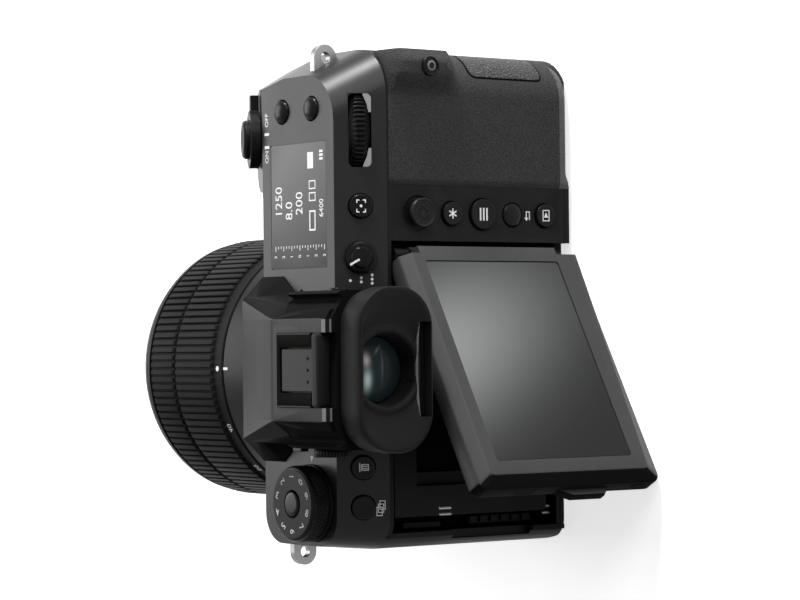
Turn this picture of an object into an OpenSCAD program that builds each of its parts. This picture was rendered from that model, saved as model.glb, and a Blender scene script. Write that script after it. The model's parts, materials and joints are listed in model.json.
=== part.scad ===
// Medium format mirrorless camera with a short zoom lens and a tilting screen.
// Origin at the mouth of the tripod socket. X runs to the camera's left, Y to its back, Z up.
// The optical axis lies at x = 0, the base at z = 0 and the middle of the core depth at y = 0.

/* [Body] */
// Overall width from the grip side to the far side
body_w = 146.8; // [146:0.2:150]
// Depth of the core without grip, thumb rest and lens
body_d = 45.6; // [45:0.2:48]
// Height of the top plate above the base
shoulder_h = 83; // [82:0.5:86]
// Height of the sloping rear band under the top plate
band_rise = 14; // [13.5:0.1:14.5]
// How far the rear band leans forward
band_run = 6.8; // [6:0.2:7.6]
// Offset of the lens axis from the middle of the width
lens_offset = 20.6; // [20.2:0.2:21]
// Wall of the covers
wall = 2.4; // [2.2:0.1:2.6]
// Thickness of the base plate
base_t = 3; // [2.8:0.1:3.2]
// Plan radius of the corners on the far side
side_r = 9; // [8:0.5:10]
// Plan radius of the rear corner under the thumb
thumb_r = 14; // [13:0.5:14]

/* [Grip] */
// Width of the grip along X
grip_w = 40.8; // [40:0.4:42]
// Reach of the grip ahead of the body front
grip_reach = 15.2; // [14.6:0.2:16.4]
// Plan radius of the grip
grip_r = 12; // [11:0.5:12.5]
// How far the outer side of the grip draws in toward its front
grip_taper = 3.5; // [3:0.25:4]
// Forward slope of the grip top in degrees
grip_slope = 28; // [26:1:30]
// Thickness of the rubber skins
skin_t = 1.2; // [1:0.1:1.4]
// Height of the thumb ridge behind the back
thumb_ridge = 5.4; // [4.8:0.2:6]

/* [Viewfinder] */
// Height of the hump above the top plate
hump_rise = 19; // [18:0.5:21]
// Half width of the hump where it meets the top plate
hump_half = 22.5; // [22:0.5:23]
// Reach of the eyepiece block behind the body back
eyepiece_reach = 16.7; // [16:0.1:18]
// Depth of the rubber eyecup
eyecup_d = 10.4; // [9:0.2:12]

/* [Screen] */
// Thickness of the screen housing
screen_t = 8.5; // [8.2:0.1:8.6]
// Width of the frame on each side of the display
display_rim = 6.8; // [6:0.2:8]
// Sideways angle at which the screen is shown
screen_open = 30; // [28:0.5:32]
// Depth of the screen recess
recess_d = 10.6; // [10.4:0.1:11]

/* [Lens] */
// How far the ribbed rings stand out of the barrel
ring_step = 1.5; // [1.3:0.1:2]
// Outer radius of the fixed barrel
barrel_r = 40; // [39.6:0.1:40.2]
// Distance of the front rim from the body's middle plane
lens_front = 92; // [91:0.5:95]
// Ribs around each ring
rib_count = 110; // [90:2:120]
// Depth of the ribs
rib_d = 0.7; // [0.5:0.1:0.8]

/* [Controls] */
// Radius of the mode dial
mode_r = 11.4; // [11:0.1:11.6]
// Height of the mode dial
mode_h = 7.2; // [6.5:0.1:8]
// Radius of the rear dial
rear_dial_r = 13; // [12.6:0.1:13.2]
// Radius of the small round buttons
button_r = 3.5; // [3.3:0.1:3.6]
// Side clearance around a button
gap = 0.3; // [0.25:0.05:0.4]

/* [Hidden] */
$fn = 64;
// Limits of the body
x_l = body_w / 2 - lens_offset;
x_r = -body_w / 2 - lens_offset;
y_b = body_d / 2;
y_f = -body_d / 2;
y_g = y_f - grip_reach;
x_g = x_r + grip_w;
fillet_r = 3;
z_band = shoulder_h - band_rise;
hump_h = shoulder_h + hump_rise;
eye_h = (z_band + hump_h) / 2 + 1.1;
axis_h = shoulder_h * 43 / 83;
y_seam = y_f + 12.8;
taper_p = [grip_taper + grip_r, y_seam - y_g - grip_r];
taper_a = atan2(taper_p[0], taper_p[1]) - asin(grip_r / norm(taper_p));
lean_grip = 7.8;
lean_side = 1;
lean_front = 1.4;
y_top_f = y_f + lean_front;
y_top_b = y_b - band_run;
band_a = atan(band_run / band_rise);
band_s = band_rise / cos(band_a) / 2;
// Screen recess
rx0 = x_r + 56.8;
rx1 = x_l - 4.8;
rz1 = z_band - 1.4;
y_floor = y_b - recess_d;
floor_t = 2;
// Screen closed position, its hinge and its frame
px = rx0 + 4;
py = y_b - 1.3;
sx0 = px - 0.6;
screen_w = rx1 - 2.2 - sx0;
screen_h = rz1 - 1.1;
display_w = screen_w - 2 * display_rim;
display_h = screen_h - 2 * display_rim - 3.5;
sz0 = rz1 - 0.6 - screen_h;
sz1 = sz0 + screen_h;
sy1 = y_b + 4.06;
sy0 = sy1 - screen_t;
bevel = [3.5, 2.5];
tab_z = [16.8, 20.8, 32.5, 43];
ear_h = 5;
ear_z = [base_t + 1.1, sz1 - 0.8 - ear_h];
arm_y = y_floor + 1.5;
arm_z = base_t + 4;
link_z = sz1 - 5.2;
frame_x = [rx0 + 8.4, sx0 + screen_w - 2];
// Grip top slope
slope_s = (y_top_f - y_g) / cos(grip_slope);
shutter_x = x_r + 24.5;
shutter_s = slope_s * 0.52;
// Viewfinder
y_e = y_b + eyepiece_reach;
eye_half = hump_half;
eye_z = [z_band + 3, hump_h - 1.4];
eyecup_half = 23.4;
cup_z = [eye_h - 13.8, eye_h + 11.9];
bar_z = [cup_z[0] + 1, cup_z[0] + 3.8];
shoe_half = 10.6;
shoe_y = [y_b - 7.6, y_e - 3.6];
shoe_z = hump_h - 3.2;
// Lens radii, and stations along the axis measured forward from the middle plane
ring_r = barrel_r + ring_step;
filter_r = barrel_r - 9;
flange = -y_f + 2.4;
st_zoom = flange + 19.6;
st_rib = st_zoom + 4.6;
st_split = lens_front - 20;
st_rim = lens_front - 5.2;
tube_r = barrel_r - 1.8;
bore_r = tube_r - 1.6;
throat_r = 28;
// Positions of the controls
col_x = x_r + 48.6;
col_z = [10.4, 22.8, 34.2, 45.7, 57.8];
af_x = x_r + 46.8;
focus_x = x_r + 61.8;
rear_dial_x = x_r + 24.7;
delete_x = x_l - 24.3;
drive_x = x_l - 12.7;
window_x = [x_r + 27.4, x_r + 64.4];
window_y = [y_top_f + 4.4, y_top_b - 3.8];
top_x = x_r + 17.7;
top_y = [y_top_f + 10.8, y_top_b - 11.2];
mode_p = [x_l - 13.6, y_top_b - 12.6];
quick_p = [x_r + 5.8, y_b + thumb_ridge - 0.2, z_band - 12.4];
lamp_z = quick_p[2] - 7.4;
door_y = [y_seam + 1.6, y_b - thumb_r - 0.6];
door_z = [10, 47];
port_y = [y_seam + 2.6, y_floor - floor_t - 0.8];
port_z = [14, 60];
hatch_x = [x_r + 8, x_r + 31.6];
hatch_y = [y_g + 6, y_g + 43];
hinge_r = base_t / 2 - 0.1;
hatch_a = hatch_y[1] - hinge_r;
release_p = [x_l - 16.8, axis_h - 30];
pin_a = atan2(release_p[1] - axis_h, release_p[0]);
pin_r = 35.2;
mount_r = 38;
lug_z = z_band + 7.5;
lug_l = y_f + 11.6;
lug_r = y_b - 21;
// Front dial under the sloping grip top
front_dial_s = slope_s * 0.69;
front_dial_r = grip_reach * 0.83;
// Display inside the screen face
dx0 = px + 5.3;
dz0 = sz0 + 9.8;

// Points of an arc from angle a0 to a1
function arc(c, r, a0, a1, n = 8) =
    [for (i = [0:n]) c + r * [cos(a0 + (a1 - a0) * i / n), sin(a0 + (a1 - a0) * i / n)]];

// Rounded rectangle with one radius
function round_rect(x, y, r, n = 6) = concat(
    arc([x[1] - r, y[0] + r], r, -90, 0, n),
    arc([x[1] - r, y[1] - r], r, 0, 90, n),
    arc([x[0] + r, y[1] - r], r, 90, 180, n),
    arc([x[0] + r, y[0] + r], r, 180, 270, n));

// Plan outline of the body, drawn inward by d. The value t runs from 0 at the walls to 1 at the shoulder.
function plan(d, t) =
    let (xl = x_l - t * lean_side, xr = x_r + t * lean_grip)
    let (yb = y_b - t * band_run, yf = y_f + t * lean_front)
    concat(
        arc([xl - side_r, yf + side_r], side_r - d, -90, 0),
        arc([xl - side_r, yb - side_r], side_r - d, 0, 90),
        arc([xr + thumb_r, yb - thumb_r], thumb_r - d, 90, 180),
        [[xr + d, y_seam]],
        arc([xr + taper_p[0], y_g + grip_r], grip_r - d, 180 + taper_a, 270),
        arc([x_g - grip_r, y_g + grip_r], grip_r - d, 270, 360),
        arc([x_g + fillet_r, yf - fillet_r], fillet_r + d, 180, 90));

// Solid through a stack of outlines, each given as [z, points]
module loft(levels) {
    n = len(levels[0][1]);
    m = len(levels);
    pts = [for (l = levels) for (p = l[1]) [p[0], p[1], l[0]]];
    sides = [for (k = [0:m - 2]) for (i = [0:n - 1])
        let (j = (i + 1) % n)
        each [[k * n + i, k * n + n + i, k * n + n + j], [k * n + i, k * n + n + j, k * n + j]]];
    bottom = [for (i = [0:n - 1]) i];
    top = [for (i = [n - 1:-1:0]) (m - 1) * n + i];
    polyhedron(pts, concat([bottom], sides, [top]));
}

// Box from its limits along X, Y and Z
module span(x, y, z) {
    translate([x[0], y[0], z[0]])
        cube([x[1] - x[0], y[1] - y[0], z[1] - z[0]]);
}

// Local frames: local Z points out of the named surface
module on_back(x, z) {
    translate([x, y_b, z])
        rotate([-90, 0, 0])
            children();
}

module on_band(x, s) {
    translate([x, y_b - s * sin(band_a), z_band + s * cos(band_a)])
        rotate([band_a - 90, 0, 0])
            children();
}

module on_slope(x, s) {
    translate([x, y_top_f - s * cos(grip_slope), shoulder_h - s * sin(grip_slope)])
        rotate([grip_slope, 0, 0])
            children();
}

// Local Z runs forward along the optical axis
module on_axis() {
    translate([0, 0, axis_h])
        rotate([90, 0, 0])
            children();
}

// Cylinder along X, and along Y toward the back
module rod_x(x, y, z, r) {
    translate([x[0], y, z])
        rotate([0, 90, 0])
            cylinder(r = r, h = x[1] - x[0]);
}

module rod_y(x, y, z, r) {
    translate([x, y[0], z])
        rotate([-90, 0, 0])
            cylinder(r = r, h = y[1] - y[0]);
}

// Push button with a chamfered cap, and with a collar that keeps it behind a wall
module push_button(r, out) {
    translate([0, 0, -wall - 0.6])
        cylinder(r = r, h = wall + 0.6 + out - 0.4);
    translate([0, 0, out - 0.4])
        cylinder(r1 = r, r2 = r - 0.4, h = 0.4);
    translate([0, 0, -wall - 1.4])
        cylinder(r = r + 0.8, h = 1);
}

module button_hole(r) {
    translate([0, 0, -wall - 2])
        cylinder(r = r + gap, h = wall + 6);
}

// Toothed disc about local Z
module toothed(r, depth, n, h) {
    linear_extrude(height = h)
        polygon([for (i = [0:n - 1]) each [
            r * [cos(360 * i / n), sin(360 * i / n)],
            r * [cos(360 * (i + 0.5) / n), sin(360 * (i + 0.5) / n)],
            (r - depth) * [cos(360 * (i + 0.6) / n), sin(360 * (i + 0.6) / n)],
            (r - depth) * [cos(360 * (i + 0.9) / n), sin(360 * (i + 0.9) / n)]]]);
}

// Upright column over the body outline, drawn inward by d
module column(d, z) {
    translate([0, 0, z[0]])
        linear_extrude(height = z[1] - z[0])
            polygon(plan(d, 0));
}

// Walls between the base plate and the shoulder band
module body_walls() {
    difference() {
        column(0, [base_t, z_band]);
        column(wall, [base_t - 1, z_band + 1]);
    }
}

// Shoulder band and top plate with the sloping grip top, drawn inward and started lower by d
module shoulder_solid(d) {
    difference() {
        loft([[z_band - 2 - d, plan(d, 0)], [z_band, plan(d, 0)],
            [shoulder_h - d, plan(d, 1 - d / band_rise)]]);
        on_slope(x_r, 0)
            translate([-20, -80, -d])
                cube([grip_w + 40, 80, 60]);
    }
}

// The hump without and with its cavity, drawn inward by d
module hump_solid(d) {
    hull() {
        span([d - hump_half, hump_half - d], [y_top_f + d, y_e - 2], [shoulder_h - wall, shoulder_h]);
        span([d + 1 - hump_half, hump_half - 1 - d], [y_top_f + 0.4 + d, y_top_f + 2 + d],
            [shoulder_h, hump_h - 11 - d]);
        translate([0, 0, hump_h - 6])
            linear_extrude(height = 6 - d)
                polygon([[d - 14.4, y_b - 12 + d], [14.4 - d, y_b - 12 + d], [17 - d, y_e - 5],
                    [17 - d, y_e - 1], [d - 17, y_e - 1], [d - 17, y_e - 5]]);
    }
}

module flare_solid() {
    hull() {
        translate([0, 0, shoulder_h - wall])
            linear_extrude(height = wall + 0.5)
                polygon([[-27.5, y_top_f], [27.5, y_top_f], [27.5, y_top_f + 10.5], [hump_half, y_top_f + 17],
                    [-hump_half, y_top_f + 17], [-27.5, y_top_f + 10.5]]);
        span([1 - hump_half, hump_half - 1], [y_top_f + 0.4, y_top_f + 9], [shoulder_h, hump_h - 11.5]);
    }
}

module eyepiece_solid(d) {
    translate([0, y_top_b - 2 - d, 0])
        rotate([-90, 0, 0])
            mirror([0, 1, 0])
                linear_extrude(height = y_e - y_top_b + 2 + 2 * d)
                    polygon(round_rect([d - eye_half, eye_half - d], [eye_z[0] + d, eye_z[1] - d], 5 - d, 5));
}

module hump_outer() {
    hump_solid(0);
    flare_solid();
    eyepiece_solid(0);
}

module front_cover() {
    color([0.09, 0.09, 0.1])
        difference() {
            body_walls();
            span([x_r - 5, x_l + 5], [y_seam, y_b + 20], [0, shoulder_h + 5]);
            grip_rubber();
            front_dial_space();
            on_axis()
                cylinder(r = 33, h = 60);
            on_axis()
                rotate(pin_a)
                    translate([pin_r, 0, 0])
                        cylinder(r = 1.6, h = 40);
            rod_y(release_p[0], [y_f - 5, y_f + 5], release_p[1], 4.4 + gap);
        }
}

module rear_cover() {
    color([0.08, 0.08, 0.09])
        difference() {
            union() {
                difference() {
                    body_walls();
                    span([x_r - 5, x_l + 5], [y_g - 5, y_seam], [0, shoulder_h + 5]);
                }
                span([rx0 - 2, rx1 + 1.5], [y_floor - floor_t, y_b - 1], [base_t, z_band]);
                span([rx1 + 1, x_l - wall / 2], [y_floor, y_b - side_r], [base_t, z_band]);
                span([rx1 + 1, x_l - side_r + 6], [y_floor, y_b - 2.5], [base_t, z_band]);
            }
            span([rx0, rx1], [y_floor, y_b + 5], [base_t - 1, rz1]);
            span([rx1 - 1, rx1 + 2.6], [y_b - 4.4, y_b + 5], [tab_z[0] - 1.5, tab_z[3] + 1.5]);
            for (i = [0:4])
                on_back(col_x, col_z[i])
                    button_hole(i == 2 ? button_r + 1.1 : i == 4 ? 2.6 : button_r);
            on_back(col_x, col_z[4])
                translate([0, 0, -0.5])
                    cylinder(r1 = 4.6, r2 = 6, h = 1);
            span([x_r - 5, x_r + wall + 2], [door_y[0] - gap, door_y[1] + gap],
                [door_z[0] - gap, door_z[1] + gap]);
            span([x_l - wall - 0.5, x_l + 5], [port_y[0] - gap, port_y[1] + gap],
                [port_z[0] - gap, port_z[1] + gap]);
            door_pin(x_r, door_y, door_z, 0.75, 2);
            door_pin(x_l - wall, port_y, port_z, 0.75, 2);
        }
    // Ears that carry the pins of the tilt arm
    color([0.08, 0.08, 0.09])
        for (x = [rx0 + 1.6, rx1 - 5.6])
            difference() {
                span([x, x + 4], [y_floor, arm_y + 1.6], [arm_z - 2, arm_z + 2]);
                rod_x([x - 1, x + 5], arm_y, arm_z, 1.05);
            }
}

module top_cover() {
    color([0.13, 0.13, 0.14])
        difference() {
            shoulder_solid(0);
            shoulder_solid(wall);
            span([x_r - 5, x_l + 5], [y_g - 5, y_b + 5], [0, z_band]);
            hump_outer();
            front_dial_space();
            on_axis()
                cylinder(r = 33, h = 60);
            on_slope(shutter_x, shutter_s)
                translate([0, 0, -8])
                    cylinder(r = 7.5, h = 16);
            span(window_x, window_y, [shoulder_h - 1.2, shoulder_h + 1]);
            span([window_x[0] + 1, window_x[1] - 1], [window_y[0] + 1, window_y[1] - 1],
                [shoulder_h - 5, shoulder_h + 1]);
            for (y = top_y)
                translate([top_x, y, shoulder_h])
                    button_hole(button_r);
            translate([mode_p[0], mode_p[1], shoulder_h - 5])
                cylinder(r = 4.1, h = 10);
            on_band(af_x, band_s)
                button_hole(button_r);
            on_band(delete_x, band_s)
                button_hole(button_r);
            on_band(drive_x, band_s)
                button_hole(button_r);
            on_band(focus_x, band_s)
                button_hole(2);
            rear_dial_space();
            lug_slots();
        }
}

module viewfinder_hump() {
    color([0.13, 0.13, 0.14])
        difference() {
            hump_outer();
            difference() {
                hump_solid(wall);
                span([-shoe_half - wall, shoe_half + wall], [shoe_y[0] - wall, y_e + 5],
                    [shoe_z - 2, hump_h + 5]);
            }
            translate([0, 0, -wall])
                linear_extrude(height = shoulder_h + 2)
                    polygon([[wall - hump_half, y_top_f + wall], [hump_half - wall, y_top_f + wall],
                        [hump_half - wall, y_top_b - 2], [wall - hump_half, y_top_b - 2]]);
            intersection() {
                eyepiece_solid(wall);
                span([-40, 40], [0, y_e - wall], [0, shoe_z - 2]);
            }
            rod_y(0, [y_e - 10, y_e + 5], eye_h, 11);
            span([-13.2, 13.2], [y_e - 1.2, y_e + 5], bar_z);
            span([-shoe_half, shoe_half], [shoe_y[0], y_e + 5], [shoe_z, hump_h + 5]);
            rod_x([-eye_half - 5, -eye_half + 5], y_b + 3, eye_h + 2, 2.6 + gap);
            rod_x([eye_half - 5, eye_half + 5], y_b - 2, eye_h + 1, 1.6);
            span([hump_half - 6, hump_half + 5], [y_top_b - 13.4, y_top_b - 4.2],
                [shoulder_h + 3.4, shoulder_h + 6.8]);
        }
}

module base_plate() {
    color([0.08, 0.08, 0.09])
        difference() {
            union() {
                column(0.8, [0, 0.8]);
                column(0, [0.8, base_t]);
            }
            span([rx0, x_l + 5], [sy0 - 0.36, y_b + 5], [-1, base_t + 1]);
            span([hatch_x[0] - gap, hatch_x[1] + gap], [hatch_y[0] - gap, hatch_y[1] + gap],
                [-1, base_t + 1]);
            rod_x([hatch_x[0] - 2, hatch_x[1] + 2], hatch_a, base_t / 2, 0.75);
            translate([0, 0, -1])
                cylinder(r = 5, h = base_t + 2);
            at_screws()
                translate([0, 0, -1])
                    cylinder(r = 1.7, h = 2.6);
            at_screws()
                translate([0, 0, -1])
                    cylinder(r = 0.9, h = base_t + 3);
        }
}

module grip_rubber() {
    color([0.05, 0.05, 0.055])
        difference() {
            intersection() {
                column(0, [base_t + 3, z_band - 4]);
                span([x_r - 5, x_g + fillet_r - 0.5], [y_g - 5, y_seam - 1], [0, shoulder_h]);
            }
            column(skin_t, [base_t, z_band]);
            front_dial_space();
        }
}

// Outer line of the thumb rest, from the button column round to the side
function thumb_line(n) = [for (i = [0:n])
    let (x = x_g - 0.5 - (grip_w - 4) * i / n, u = (x - x_r - 6.4) / 8)
    [x, y_b + 0.8 + (thumb_ridge - 0.8) * exp(-u * u) - (i == n ? 1.2 : 0)]];

module thumb_rubber() {
    z0 = base_t + 1;
    z1 = z_band - 2;
    r = 11;
    color([0.06, 0.06, 0.065])
        difference() {
            intersection() {
                translate([0, 0, z0])
                    linear_extrude(height = z1 - z0)
                        polygon(concat([[x_r + 1.2, y_b - 9], [x_g - 0.5, y_b - 9]], thumb_line(20)));
                translate([0, y_b - 20, 0])
                    rotate([-90, 0, 0])
                        mirror([0, 1, 0])
                            linear_extrude(height = 60)
                                polygon(concat([[x_g, z0], [x_g, z1]], arc([x_r + 5, z1 - 4], 4, 90, 180, 4),
                                    arc([x_r + 1 + r, z0 + r], r, 180, 270)));
            }
            column(0, [base_t, z_band]);
            rod_y(quick_p[0], [y_b - 12, y_b + 20], quick_p[2], 3 + gap);
            rod_y(quick_p[0], [y_b - 12, y_b + 20], lamp_z, 1.2);
        }
}

module lug_slots() {
    span([x_l - 4.5, x_l + 10], [lug_l - 1.2, lug_l + 1.2], [lug_z - 4, lug_z + 4]);
    span([x_r - 10, x_r + 9], [lug_r - 1.2, lug_r + 1.2], [lug_z - 4, lug_z + 4]);
}

// Lug with its root at the origin, reaching along +X by the given length
module lug(reach) {
    difference() {
        union() {
            span([0, reach], [-1.2, 1.2], [-4, 4]);
            rod_y(reach, [-1.2, 1.2], 0, 4);
        }
        rod_y(reach, [-5, 5], 0, 1.6);
    }
}

module strap_lugs() {
    color([0.75, 0.75, 0.77]) {
        translate([x_l - 4.5, lug_l, lug_z])
            lug(6.1);
        translate([x_r + 9, lug_r, lug_z])
            mirror([1, 0, 0])
                lug(6.7);
    }
}

module lens_mount_ring() {
    color([0.7, 0.7, 0.72])
        on_axis()
            difference() {
                translate([0, 0, -y_f])
                    cylinder(r = mount_r, h = flange + y_f);
                cylinder(r = 32.5, h = 60);
                for (a = [30:90:300])
                    rotate(a)
                        translate([pin_r, 0, flange - 0.6])
                            cylinder(r = 1.2, h = 5);
                rotate(pin_a)
                    translate([pin_r, 0, 0])
                        cylinder(r = 1.6, h = 60);
            }
}

module tripod_socket() {
    color([0.72, 0.7, 0.66])
        difference() {
            cylinder(r = 5, h = base_t + 3.5);
            translate([0, 0, -1])
                cylinder(r = 3.175, h = base_t + 3.6);
        }
}

module chassis() {
    color([0.55, 0.56, 0.58])
        difference() {
            union() {
                span([x_g + 3, x_l - 6], [y_f + 10.8, y_f + 13.8], [base_t, z_band + 6]);
                span([-30, 30], [y_f + 10.8, 8], [base_t, base_t + 2]);
            }
            translate([0, 0, -1])
                cylinder(r = 5, h = base_t + 6);
            span([-24, 24], [y_f, y_b], [axis_h - 18, axis_h + 18]);
        }
}

module shutter_unit() {
    color([0.16, 0.16, 0.17])
        difference() {
            span([-34, 34], [y_f + 13.8, y_f + 18.8], [axis_h - 28, axis_h + 27]);
            span([-22.4, 22.4], [y_f, y_b], [axis_h - 17, axis_h + 17]);
        }
}

module image_sensor() {
    color([0.2, 0.28, 0.24])
        difference() {
            span([-28, 28], [y_f + 18.8, y_f + 27.4], [axis_h - 23, axis_h + 23]);
            span([-21.9, 21.9], [y_f, y_f + 24.3], [axis_h - 16.4, axis_h + 16.4]);
        }
}

module main_board() {
    color([0.1, 0.3, 0.18])
        union() {
            span([rx0 + 2, rx1 - 3], [y_floor - floor_t - 1.6, y_floor - floor_t], [base_t + 5, rz1 - 2]);
            span([-20, 4], [y_floor - floor_t - 3.2, y_floor - floor_t - 1.6], [24, 48]);
            span([14, 30], [y_floor - floor_t - 3, y_floor - floor_t - 1.6], [18, 34]);
        }
}

module battery() {
    color([0.1, 0.1, 0.11])
        span([hatch_x[0] + 2, hatch_x[1] - 2], [hatch_y[0] + 1, hatch_y[1] - 3], [base_t + 0.2, z_band - 13]);
}

module card_socket() {
    color([0.5, 0.5, 0.52])
        difference() {
            span([x_r + thumb_r, x_r + 40], [y_g + 42, y_b - wall], [14, 44]);
            for (y = [y_g + 43.4, y_g + 47.4])
                span([x_r, x_r + 37], [y, y + 2.4], [16.5, 41.5]);
        }
}

module viewfinder_block() {
    color([0.12, 0.12, 0.13])
        difference() {
            union() {
                span([-15, 15], [0, y_e - wall], [z_band + 6, shoe_z - 4.2]);
                span([-15, 15], [y_f + 11.4, 2], [z_band + 6, z_band + 9]);
            }
            rod_y(0, [6, y_e], eye_h, 6.8);
            rod_y(0, [y_e - 8, y_e], eye_h, 7.6);
        }
}

module eyepiece_lens() {
    color([0.12, 0.2, 0.22])
        rod_y(0, [y_e - 8, y_e - wall], eye_h, 7.6);
}

module eyecup() {
    color([0.05, 0.05, 0.05])
        difference() {
            translate([0, y_e, 0])
                rotate([-90, 0, 0])
                    mirror([0, 1, 0])
                        linear_extrude(height = eyecup_d)
                            polygon(round_rect([-eyecup_half, eyecup_half], cup_z, 7));
            rod_y(0, [y_e - 1, y_e + 20], eye_h + 0.4, 9.8);
            span([-13.4, 13.4], [y_e - 1, y_e + 20], [bar_z[0] - 0.2, bar_z[1] + 0.2]);
        }
}

module eye_sensor_window() {
    color([0.03, 0.03, 0.04])
        span([-13.2, 13.2], [y_e - 1.2, y_e + eyecup_d - 3], bar_z);
}

module hot_shoe() {
    color([0.72, 0.72, 0.74])
        difference() {
            span([-shoe_half, shoe_half], shoe_y, [shoe_z, hump_h + 1]);
            span([-9.4, 9.4], [shoe_y[0] + 2, y_e + 5], [shoe_z + 0.8, shoe_z + 2.8]);
            span([-6.4, 6.4], [shoe_y[0] + 2, y_e + 5], [shoe_z + 0.8, hump_h + 5]);
        }
}

module sub_monitor_window() {
    color([0.1, 0.11, 0.11])
        span(window_x, window_y, [shoulder_h - 1.2, shoulder_h]);
}

module indicator_lamp() {
    color([0.3, 0.8, 0.4])
        rod_y(quick_p[0], [y_b - 0.4, y_b + thumb_ridge - 0.3], lamp_z, 1.2);
}

module at_screws() {
    for (p = [[x_l - 8, y_f + 8], [x_l - 8, y_b - 8], [-30, y_b - 7], [24, y_b - 7],
        [-40, y_f + 6], [34, y_f + 6]])
        translate([p[0], p[1], 0])
            children();
}

module cover_screws() {
    color([0.3, 0.3, 0.32])
        at_screws()
            difference() {
                union() {
                    translate([0, 0, 0.3])
                        cylinder(r = 1.7, h = 1.3);
                    translate([0, 0, 0.3])
                        cylinder(r = 0.9, h = base_t - 0.3);
                }
                translate([-0.2, -0.9, 0])
                    cube([0.4, 1.8, 0.9]);
                translate([-0.9, -0.2, 0])
                    cube([1.8, 0.4, 0.9]);
            }
}

module shutter_button() {
    color([0.2, 0.2, 0.21])
        on_slope(shutter_x, shutter_s)
            difference() {
                union() {
                    translate([0, 0, -4])
                        cylinder(r = 5.9, h = 8.6);
                    translate([0, 0, 4.6])
                        cylinder(r1 = 5.9, r2 = 5.2, h = 0.7);
                }
                translate([0, 0, 24.7])
                    sphere(r = 20);
            }
}

module power_lever() {
    color([0.12, 0.12, 0.13])
        on_slope(shutter_x, shutter_s)
            difference() {
                union() {
                    translate([0, 0, 0.3])
                        cylinder(r = 8.8, h = 3);
                    translate([0, 0, -4])
                        cylinder(r = 7.2, h = 5);
                    translate([-13.4, -2.2, 0.3])
                        cube([9, 4.4, 2.6]);
                }
                translate([0, 0, -5])
                    cylinder(r = 5.9 + gap, h = 20);
            }
}

module front_dial_at() {
    on_slope(shutter_x, front_dial_s)
        translate([0, 0, -10.6])
            children();
}

module front_dial_space() {
    front_dial_at()
        translate([0, 0, -0.5])
            cylinder(r = front_dial_r + 0.5, h = 6);
}

module front_dial() {
    color([0.1, 0.1, 0.11])
        front_dial_at()
            difference() {
                toothed(front_dial_r, 0.6, 40, 5);
                translate([0, 0, -1])
                    cylinder(r = 2, h = 10);
            }
}

// Local Z lies along the axis of the rear dial
module rear_dial_at() {
    on_band(rear_dial_x, band_s)
        translate([0, 3, 3.5 - rear_dial_r])
            rotate([90, 0, 0])
                children();
}

module rear_dial_space() {
    on_band(rear_dial_x, band_s)
        translate([-10.75, -3.4, -6])
            cube([21.5, 6.8, 12]);
    rear_dial_at()
        translate([0, 0, -0.4])
            cylinder(r = rear_dial_r + 0.4, h = 6.8);
}

module rear_dial() {
    color([0.1, 0.1, 0.11])
        rear_dial_at()
            difference() {
                toothed(rear_dial_r, 0.6, 44, 6);
                translate([0, 0, -1])
                    cylinder(r = 2, h = 10);
            }
}

module mode_dial() {
    color([0.1, 0.1, 0.11])
        translate([mode_p[0], mode_p[1], shoulder_h])
            difference() {
                union() {
                    translate([0, 0, 0.3])
                        cylinder(r = mode_r, h = 0.9);
                    translate([0, 0, 1.2])
                        toothed(mode_r - 0.2, 0.5, 60, mode_h - 2.4);
                    translate([0, 0, mode_h - 1.2])
                        cylinder(r1 = mode_r - 0.8, r2 = mode_r - 1.4, h = 1.2);
                    translate([0, 0, -wall - 2])
                        cylinder(r = 4, h = wall + 3);
                }
                translate([0, 0, 1.6])
                    cylinder(r = 3.9, h = mode_h);
            }
}

module mode_dial_lock() {
    color([0.16, 0.16, 0.17])
        translate([mode_p[0], mode_p[1], shoulder_h]) {
            translate([0, 0, 3])
                cylinder(r = 3.6, h = mode_h - 2.8);
            translate([0, 0, mode_h + 0.2])
                cylinder(r1 = 3.6, r2 = 3.2, h = 0.4);
        }
}

module stills_movie_switch() {
    color([0.2, 0.2, 0.21])
        span([hump_half - 4.4, hump_half + 1.4], [y_top_b - 13, y_top_b - 8.6],
            [shoulder_h + 3.7, shoulder_h + 6.5]);
}

module diopter_wheel() {
    color([0.1, 0.1, 0.11]) {
        translate([eye_half + 0.4, y_b - 2, eye_h + 1])
            rotate([0, 90, 0])
                toothed(5.4, 0.4, 36, 2.2);
        rod_x([eye_half - 4, eye_half + 0.4], y_b - 2, eye_h + 1, 1.5);
    }
}

module top_button_front() {
    color([0.1, 0.1, 0.11])
        translate([top_x, top_y[0], shoulder_h])
            push_button(button_r, 0.9);
}

module top_button_rear() {
    color([0.1, 0.1, 0.11])
        translate([top_x, top_y[1], shoulder_h])
            push_button(button_r, 0.9);
}

module view_mode_button() {
    color([0.1, 0.1, 0.11])
        rod_x([-eye_half - 0.8, -eye_half + wall + 1], y_b + 3, eye_h + 2, 2.6);
}

module af_on_button() {
    color([0.1, 0.1, 0.11])
        on_band(af_x, band_s)
            push_button(button_r, 1.1);
}

module focus_mode_switch() {
    color([0.1, 0.1, 0.11])
        on_band(focus_x, band_s) {
            translate([0, 0, 0.3])
                cylinder(r = 4.8, h = 1.4);
            translate([0, 0, 1.7])
                cylinder(r1 = 4.8, r2 = 4.3, h = 0.5);
            translate([-1.1, -6.2, 0.3])
                cube([2.2, 10, 2.8]);
            translate([0, 0, -wall - 1])
                cylinder(r = 2, h = wall + 2);
        }
}

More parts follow.
